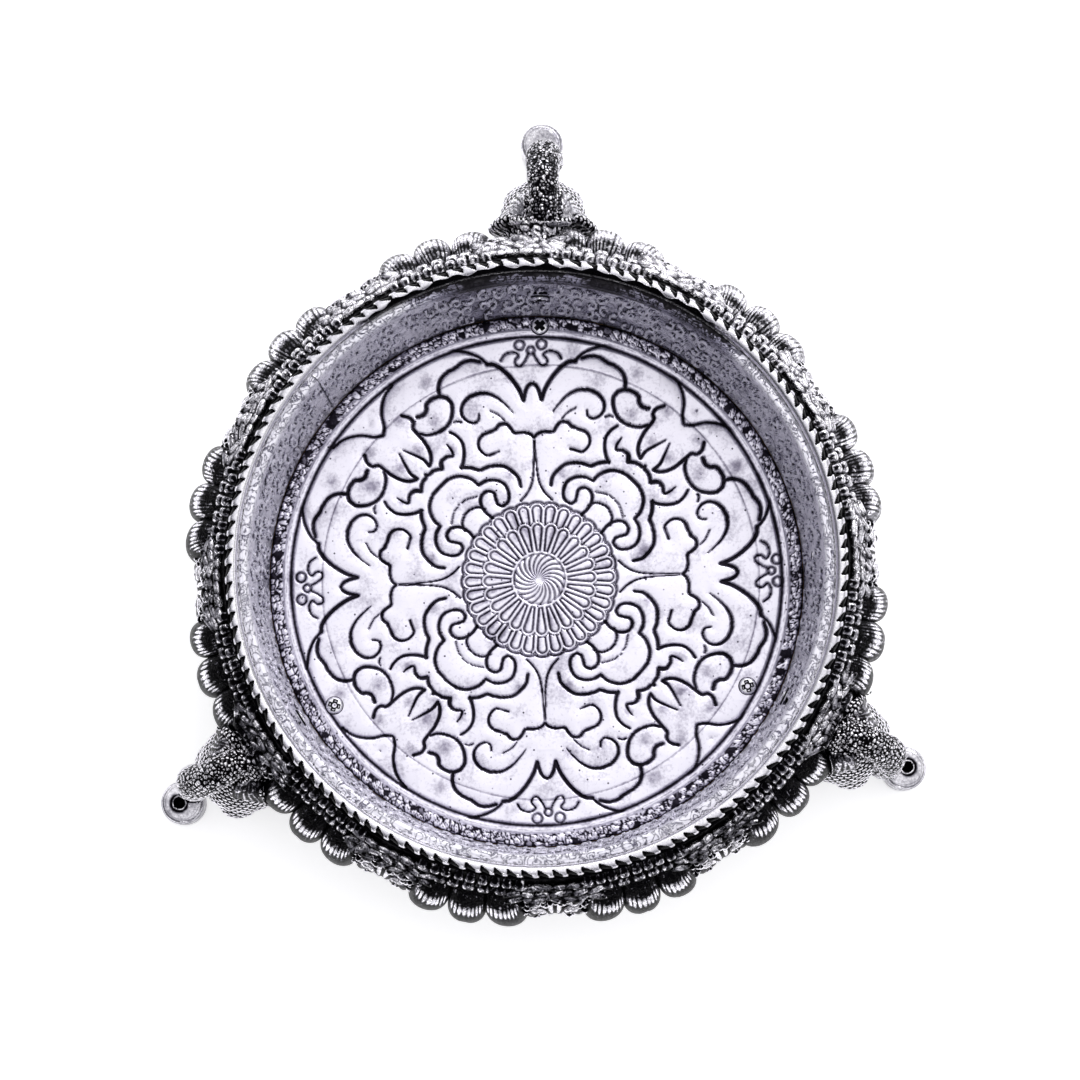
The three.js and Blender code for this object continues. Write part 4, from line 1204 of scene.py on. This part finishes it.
FOOT_RADIUS = 7.6
FOOT_TOP = 3.0
FOOT_HOLLOW = 1.6
HEAD_CENTRE = (118.5, 16.0)  # outwards and up, for a head that sits on its seat
HEAD_RADII = (16.8, 15.8, 22.8)
BACK_FACE = 112.0


def trunk_points(offset, reach, sway, bend):
    """The trunk from the brow, over its arch and down into the foot: x, y, z and radius."""
    foot = SEAT_RADIUS + reach
    root = SEAT_RADIUS + offset + 3.7
    shoulder = foot - 9.6 - 0.5 * offset
    return [
        (root, sway, 39.9, 5.0),
        (root + 0.35 * (shoulder - root), 0.8 * sway, 44.0, 5.1),
        (root + 0.72 * (shoulder - root), 0.5 * sway, 41.1, 5.5),
        (shoulder, 0.3 * bend, 31.7, 6.0),
        (foot - 8.3, 0.7 * bend, 19.4, 6.2),
        (foot - 7.6, bend, 9.5, 6.1),
        (foot - 6.6, 0.8 * bend, 2.4, 5.2),
        (foot - 4.8, 0.5 * bend, -5.2, 4.4),
    ]


def ear_folds(hand, offset, sway):
    """Folds of one ear, spread like a fan from beside the trunk's root."""
    folds = []
    for spread in np.linspace(0, 1, 6):
        near = 1 - spread
        back = BACK_FACE + offset
        folds.append(
            [
                (back + 3.5 + spread, sway + hand * (3.8 + 1.5 * spread), 41.0 - 2 * spread, 0.8),
                (back + 6 + 4.5 * near, sway + hand * (6.5 + 4 * spread), 39.5 - 3 * spread, 1.5),
                (back + 4.5 + 9.5 * near**1.3, sway + hand * (8.5 + 9.0 * spread), 33.5 - 6.5 * spread, 1.3),
            ]
        )
    return folds


def held_back(points, bearing, offset):
    """A head's points, flat behind and clear of the wall's relief."""
    out = np.maximum(points[:, 0], BACK_FACE + offset)
    radius = np.hypot(out, points[:, 1])
    own = np.degrees(np.arctan2(points[:, 1], out))
    wall = ground(points[:, 2]) + relief_rise(own + bearing, points[:, 2]) + 0.4
    radius = np.where(points[:, 2] > 0, np.maximum(radius, wall), radius)
    return polar(radius, own, points[:, 2])


def head_forms(offset, sway):
    """Skull, brows, ears and cheeks, before they are held off the wall."""
    middle = np.array([HEAD_CENTRE[0] + offset, sway, HEAD_CENTRE[1]])
    forms = [oval(middle, HEAD_RADII, rows=40, columns=64)]
    forms += [oval(middle + (1.5, hand * 5.2, 17), (8, 5.6, 7.5)) for hand in (-1, 1)]
    for hand in (-1, 1):
        forms.append(oval(middle + (-1.3, hand * 12.2, 10), (3.0, 7.4, 12.6), hand * 20))
        forms.append(oval(middle + (7.5, hand * 8, -7), (8.0, 6.6, 13)))
        forms += [limb(fold, 12, 0.5, (1, 0, 0)) for fold in ear_folds(hand, offset, sway)]
    return forms


def foot_cup(reach):
    """The round foot on the trunk's end, filed flat above and rounded at its edges."""
    profile = [
        (0, TABLE),
        (FOOT_RADIUS - 0.9, TABLE),
        (FOOT_RADIUS - 0.2, TABLE + 0.6),
        (FOOT_RADIUS, TABLE + 1.8),
        (FOOT_RADIUS, FOOT_TOP - 2.4),
        (FOOT_RADIUS - 0.3, FOOT_TOP - 0.9),
        (FOOT_RADIUS - 1.0, FOOT_TOP - 0.2),
        (5.2, FOOT_TOP),
        (2.0, FOOT_TOP),
        (0, FOOT_TOP),
    ]
    return lathed(profile, (SEAT_RADIUS + reach, 0, 0))


def crown(offset):
    """Curled leaves and seeds over the neck, up to the trunk's root."""
    chance = np.random.default_rng(31)
    shells = []
    for hand in (-1, 1):
        curl = [(2.5, 47.0, 1.3), (6.0, 48.2, 1.7), (8.6, 47.0, 1.6), (9.4, 44.6, 1.2), (7.6, 43.6, 0.9)]
        for forward in (1.8, 5.5 + 0.6 * offset):
            out = SEAT_RADIUS + forward
            points = [(out + 0.15 * y, hand * y, z - 0.3 * forward, radius) for y, z, radius in curl]
            shells.append(limb(points, 12, 0.6, (1, 0, 0)))
    for _ in range(16):
        size = chance.uniform(1.1, 1.7)
        out = SEAT_RADIUS + chance.uniform(1.8, 4.0 + offset)
        place = (out, chance.uniform(-7.5, 7.5), chance.uniform(45.5, 47.5))
        shells.append(oval(place, size, rows=8, columns=10))
    return shells


def casting_forms(casting, trunk_line):
    """The overlapping solids of one casting, before they are fused."""
    offset = casting.offset
    forms = []
    for points, quads, triangles in head_forms(offset, casting.sway):
        forms.append((held_back(points, casting.bearing, offset), quads, triangles))
    forms += [limb(trunk_line), foot_cup(casting.reach), *crown(offset)]
    near, far = SEAT_RADIUS + CLEARANCE, SEAT_RADIUS + offset + 7.2
    wide = 8  # half the width of the neck and the tab
    neck = [(near, -wide), (far, -wide), (far, wide), (near, wide)]
    forms.append(slab(neck, 22, WALL_SCREW_HEIGHT))
    forms.append(limb([(near, 0, WALL_SCREW_HEIGHT, 5.9), (far, 0, WALL_SCREW_HEIGHT, 5.9)], 24, 2))
    arc = np.radians(np.linspace(90, 270, 17))
    tab = [(casting.screw + wide * math.cos(a), wide * math.sin(a)) for a in arc]
    tab += [(120.5 + offset, -wide), (120.5 + offset, wide)]
    forms.append(slab(tab, -6.5, -CLEARANCE))
    return forms


def elephant(name, casting, material):
    """One casting: its forms fused, then its hide worked into the skin."""
    bearing, offset, reach, sway, bend, _, hollow_at = casting
    trunk_line = trunk_points(offset, reach, sway, bend)
    points, outward, quads, triangles = fused(casting_forms(casting, trunk_line), 0.36)
    x, y, z = points.T
    foot = np.hypot(x - SEAT_RADIUS - reach, y)
    path = smooth_path(trunk_line, 1.5)
    trunk, _ = nearest_on(path[:, :3], points)
    on_trunk = 1 - ease(6.0, 7.6, trunk)
    cup = 1 - ease(FOOT_RADIUS + 0.3, FOOT_RADIUS + 1.0, foot)
    cup *= 1 - ease(FOOT_TOP + 0.1, FOOT_TOP + 0.5, z)
    from_hollow = np.hypot(x - SEAT_RADIUS - reach - hollow_at[0], y - hollow_at[1])
    low = z < FOOT_TOP + 0.6
    hollow = 1 - ease(FOOT_HOLLOW - 0.6, FOOT_HOLLOW, from_hollow)
    hollow *= ease(TABLE + 8, TABLE + 10, z) * low
    fittings = 1 - ease(-1.0, 0.5, z) * ease(BACK_FACE + offset - 0.6, BACK_FACE + offset, x)
    plain = np.where(foot < 16, cup, np.maximum(cup, fittings * (on_trunk < 0.5)))
    # Pebbled trunk, with a rolled collar over the foot
    border, grain = grains(points, 1.35)
    pebbles = 0.8 * ease(0.03, 0.35, border) * (0.25 + 0.75 * grain) - 0.5
    collar = np.exp(-(((z - 9.0) / 1.1) ** 2)) * (trunk < 8) * (foot < 18)
    under = (1 - ease(6.3, 8.0, z)) * (foot < 18) * (1 - cup)
    # Short strokes cut in rows over the head, and flat folds on the ears
    rho = np.hypot((x - HEAD_CENTRE[0] - offset), (y - sway)) * 0.8 - 0.4 * z
    turn = np.arctan2(y - sway, x - HEAD_CENTRE[0] - offset)
    rows = rho / 1.35
    stroke = (turn * 14 / 2.5 + 0.5 * (np.floor(rows) % 2)) % 1 - 0.5
    scales = np.clip(1 - (stroke / 0.46) ** 2 - (((rows % 1) - 0.5) / 0.4) ** 2, 0, 1) ** 0.5
    on_ear = np.zeros(len(points))
    for hand in (-1, 1):
        for fold in ear_folds(hand, offset, sway):
            held = held_back(smooth_path(fold, 0.8)[:, :3], bearing, offset)
            on_ear = np.maximum(on_ear, 1 - ease(1.7, 2.3, nearest_on(held, points)[0]))
    on_crown = (z > 42.5) * (x < SEAT_RADIUS + offset + 4.5) * (trunk > 4)
    hide = (0.5 * scales - 0.38) * (1 - on_ear)
    hide = hide * (1 - on_trunk) + (pebbles + 0.05) * on_trunk * (1 - under)
    hide = hide * (1 - on_crown)
    points = points + outward * (hide * (1 - plain) + 0.35 * collar)[:, None]
    points[:, 2] = np.maximum(points[:, 2] - 4.5 * hollow, TABLE)
    steep = ease(0.75, 0.3, outward[:, 2])
    # Painted shade on the trunk below the collar
    polish_and_shade = cup * (3.6 - 0.1 * offset - 0.9 * steep) + 1.2 * collar - 2.4 * under
    polish_and_shade += 0.5 * on_ear * (1 - on_trunk)
    # Painted shade: the foot's hollow is painted black
    painted_hollow_shade = 1 - ease(FOOT_HOLLOW + 0.3, FOOT_HOLLOW + 0.8, from_hollow)
    polish_and_shade -= 12 * painted_hollow_shade * (foot < FOOT_RADIUS) * low
    sparkle = 6.5 * grain**3 - 3.6 * (border < 0.2) - 2.0
    polish_and_shade += sparkle * on_trunk * (1 - under) * (1 - plain) * (1 - on_crown)
    cut = (1 - on_trunk) * (1 - on_ear) * (1 - plain) * (1 - on_crown)
    polish_and_shade += cut * (1.4 * ease(0.6, 0.95, scales) - 3.2 * (scales < 0.35) - 0.4)
    piece = build(name, [(turned(points, bearing), quads, triangles)])
    mark_hollows(piece, 5)
    mark(piece, "polish_and_shade", polish_and_shade)
    dress(piece, material, "cast_metal", name.replace("cast_", ""))


def pan_head_screw(name, node, seat, turn, lying, length, material):
    """A pan-head screw with its cross recess, its head's seat at a radius, height and bearing."""
    columns = 72
    head_radius, shank_radius, point = 3.25, 1.7, 3.0
    bearing = np.arange(columns) * 2 * np.pi / columns
    radii = np.linspace(0.04, head_radius, 44)[:, None]
    pan = 1.9 - 0.55 * (radii / head_radius) ** 2 - 0.75 * ease(2.35, head_radius, radii) ** 1.5
    x, y = radii * np.cos(bearing), radii * np.sin(bearing)
    narrow = np.minimum(np.abs(x), np.abs(y))
    wide = np.maximum(np.abs(x), np.abs(y))
    slot = (1 - ease(0.38, 0.62, narrow)) * (1 - ease(1.65, 2.0, wide))
    pip = 1 - ease(0.75, 1.0, np.hypot(x, y))
    head = np.stack([x, y, pan - np.maximum(slot * 1.15, pip * 1.3)], -1)[::-1]
    below = [(0.5, -length + 0.3), (shank_radius, -length + point), (shank_radius, -0.02), (3.2, 0.0)]
    below.append((head_radius, 0.3))
    rings = [polar(radius, np.degrees(bearing), z) for radius, z in below]
    points = np.concatenate([[[0, 0, -length]], *rings, head.reshape(-1, 3), [[0, 0, 0.6]]])
    faces = ball_faces(len(below) + len(radii), columns)
    points = turned(points, turn)
    if lying:
        points = points[:, [2, 1, 0]] * (-1, 1, 1)
    out, height, around = seat
    points = turned(points + (out, 0, height), around)
    piece = build(name, [copies(points[None], faces)])
    # Darker in the recess and round the head's edge
    recess = (1 - ease(0.6, 0.9, narrow)) * (1 - ease(1.9, 2.2, wide))
    packed = np.maximum(np.maximum(recess, pip), 0.6 * ease(2.85, 3.1, radii))[::-1]
    clean = np.zeros(1 + len(below) * columns)
    mark(piece, "hollow", 0.3 * np.concatenate([clean, packed.ravel(), [1.0]]) - 0.02)
    dress(piece, material, "steel", node)


def eyelet(material):
    """The hoop's small rivet: a tube rolled over into a ring."""
    columns = 40
    inner = 0.5
    profile = [(inner, -SHEET), (1.1, -SHEET), (1.1, 0.3), (1.65, 0.32), (1.7, 0.5), (1.6, 0.75), (1.35, 0.9)]
    profile += [(1.0, 0.9), (0.7, 0.75), (inner, 0.4)]
    ring = np.array(profile)
    bearing = np.arange(columns) * 360 / columns
    points = polar(ring[:, :1], bearing[None], ring[:, 1:]).reshape(-1, 3)[:, [2, 1, 0]] * (-1, 1, 1)
    radius = np.interp(HOLE_HEIGHT, (FLOOR_TOP, WALL_TOP), (HOOP_FOOT_RADIUS, HOOP_TOP_RADIUS))
    points = turned(points + (radius, 0, HOLE_HEIGHT), RIVET_BEARING)
    piece = build("eyelet", [(points, grid_quads(len(ring), columns, wrap_rows=True), NO_TRIANGLES)])
    mark_hollows(piece, 3)
    dress(piece, material, "steel", "hoop_rivet")


# Camera and light
PHOTO_ROLL = 3.1  # the bowl is turned this much anticlockwise in the frame
PHOTO_TILT = 5.9  # camera leans this far towards the frame's lower edge
PHOTO_DISTANCE = 1150.0  # from the rim's middle
RIM_HEIGHT = 60.0
MM_PER_PIXEL = 0.334  # at the rim
FRAME_PIXELS = 1080
RIM_PIXEL = (536.6, 564.5)  # where the rim's middle lies in the frame
TABLE_GLOW = 0.62  # how bright the table is to the camera and in the metal


def place_camera():
    """The photograph's camera: nearly straight above, with the bowl a little below the frame's middle."""
    tilt = math.radians(PHOTO_TILT)
    right = Vector((1, 0, 0))
    up = Vector((0, math.cos(tilt), math.sin(tilt)))
    ahead = Vector((0, math.sin(tilt), -math.cos(tilt)))
    middle = Vector((0, 0, RIM_HEIGHT * METRE))
    focus = PHOTO_DISTANCE / MM_PER_PIXEL
    aside = (RIM_PIXEL[0] - FRAME_PIXELS / 2) / focus
    above = -(RIM_PIXEL[1] - FRAME_PIXELS / 2) / focus
    aim = (ahead - aside * right - above * up).normalized()
    across = aim.cross(up).normalized()
    axes = Matrix((across, across.cross(aim), -aim)).transposed().to_4x4()
    turn = Matrix.Rotation(math.radians(-PHOTO_ROLL), 4, "Z")
    camera = bpy.data.objects.new("camera", bpy.data.cameras.new("camera"))
    camera.data.sensor_width = 36
    camera.data.lens = 36 * focus / FRAME_PIXELS
    camera.data.clip_end = 20
    camera.matrix_world = turn @ Matrix.Translation(middle - ahead * PHOTO_DISTANCE * METRE) @ axes
    bpy.context.collection.objects.link(camera)
    bpy.context.scene.camera = camera


def soft_lamp(name, bearing, elevation, distance, side, power):
    """A square soft box that faces the bowl."""
    lamp = bpy.data.lights.new(name, "AREA")
    lamp.size = side
    lamp.energy = power
    box = bpy.data.objects.new(name, lamp)
    b, e = math.radians(bearing), math.radians(elevation)
    away = Vector((math.cos(b) * math.cos(e), math.sin(b) * math.cos(e), math.sin(e)))
    box.location = away * distance
    box.rotation_euler = away.to_track_quat("Z", "Y").to_euler()
    bpy.context.collection.objects.link(box)


def light_studio():
    """Soft boxes, and a studio that is paler towards the frame's upper right."""
    soft_lamp("key_box", 58, 46, 1.5, 0.6, 6.0)
    soft_lamp("fill_box", 95, 30, 1.5, 0.5, 2.0)
    soft_lamp("front_strip", 262, 24, 1.4, 0.35, 1.5)
    world = bpy.data.worlds.new("studio")
    bpy.context.scene.world = world
    world.use_nodes = True
    tree = world.node_tree
    sky = tree.nodes["Background"]
    direction = add_node(tree, "TexCoord").outputs["Generated"]
    pale_side = {0: direction, 1: (0.45, 0.62, 0.64)}
    towards = add_node(tree, "VectorMath", pale_side, operation="DOT_PRODUCT").outputs["Value"]
    paleness = add_node(tree, "MapRange", {0: towards, 1: -0.5, 2: 0.75}).outputs[0]
    stops = ((0.0, "#4c4c52"), (0.4, "#85858b"), (0.85, "#f6f6f8"), (1.0, "#ffffff"))
    shade = add_node(tree, "ValToRGB", {0: paleness}, stops).outputs["Color"]
    # Dark and white cards stand round the table, below the overhead light
    cards = add_node(tree, "TexNoise", {"Vector": direction, "Scale": 3.2, "Detail": 0.0}).outputs["Fac"]
    card = add_node(tree, "MapRange", {0: cards, 1: 0.42, 2: 0.58, 3: 0.3, 4: 1.25}).outputs[0]
    height = add_node(tree, "SeparateXYZ", {0: direction}).outputs["Z"]
    overhead = add_node(tree, "MapRange", {0: height, 1: 0.55, 2: 0.85}).outputs[0]
    card = add_node(tree, "Mix", {"Factor": overhead, 2: card, 3: 1.0}).outputs[0]
    shade = add_node(tree, "VectorMath", {0: shade, "Scale": card}, operation="SCALE").outputs[0]
    tree.links.new(shade, sky.inputs["Color"])
    sky.inputs["Strength"].default_value = 1.15


def white_table():
    """A table top that keeps the bowl's shadow, and looks white to the camera and in the metal."""
    half = 3000 * METRE
    corners = [(-half, -half), (half, -half), (half, half), (-half, half)]
    top = bpy.data.meshes.new("table")
    top.from_pydata([(x, y, TABLE * METRE) for x, y in corners], [], [(0, 1, 2, 3)])
    floor = bpy.data.objects.new("table", top)
    bpy.context.collection.objects.link(floor)
    material, tree, shader = new_material("white_paper")
    shader.inputs["Base Color"].default_value = linear("#f4f4f6")
    shader.inputs["Roughness"].default_value = 0.9
    rays = add_node(tree, "LightPath").outputs
    seen = rays["Is Camera Ray"]
    for kind in ("Is Glossy Ray", "Is Transmission Ray"):
        seen = add_node(tree, "Math", {0: seen, 1: rays[kind]}, operation="MAXIMUM").outputs[0]
    strength = add_node(tree, "Math", {0: seen, 1: TABLE_GLOW}, operation="MULTIPLY").outputs[0]
    glow = add_node(tree, "Emission", {"Strength": strength})
    both = add_node(tree, "AddShader", {0: shader.outputs[0], 1: glow.outputs[0]})
    tree.links.new(both.outputs[0], tree.nodes["Material Output"].inputs["Surface"])
    floor.data.materials.append(material)


cast_metal = cast_white_metal("blackened_cast_white_metal", 2.2, 0.34, "#1f1e23", "#8b8992")
rope_metal = cast_white_metal("burnished_cast_white_metal", 1.6, 0.2, "#5d5b63", "#cbc9d2")
wiped_sheet = pressed_sheet(
    "tarnished_pressed_sheet_bright",
    "#f1eefa",
    "#a29db0",
    "#322e3a",
    pit_spacing=3.0,
    crinkled=0.05,
    bloom=0.04,
)
dull_sheet = pressed_sheet(
    "tarnished_pressed_sheet_dull",
    "#f6f4fe",
    "#9b98ae",
    "#25222c",
    pit_spacing=4.0,
    crinkled=0.34,
    bloom=0.5,
)
pressed_floor(wiped_sheet)
pressed_hoop(dull_sheet)
twisted_rope(rope_metal)
relief_wall(cast_metal)
steel = plated_steel()
for place, casting in ELEPHANTS.items():
    elephant("cast_elephant_" + place, casting, cast_metal)
    seat = (casting.screw, FLOOR_TOP + CLEARANCE, casting.bearing)
    pan_head_screw("floor_fixing_" + place, "floor_screw_" + place, seat, 43, False, 15.5, steel)
    seat = (HOOP_FOOT_RADIUS + 1.55, WALL_SCREW_HEIGHT, casting.bearing)
    pan_head_screw("wall_fixing_" + place, "wall_screw_" + place, seat, 12, True, 26.0, steel)
eyelet(steel)
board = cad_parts["base_board"]
board.data.materials.clear()
board.data.materials.append(plain_board())

place_camera()
light_studio()
white_table()
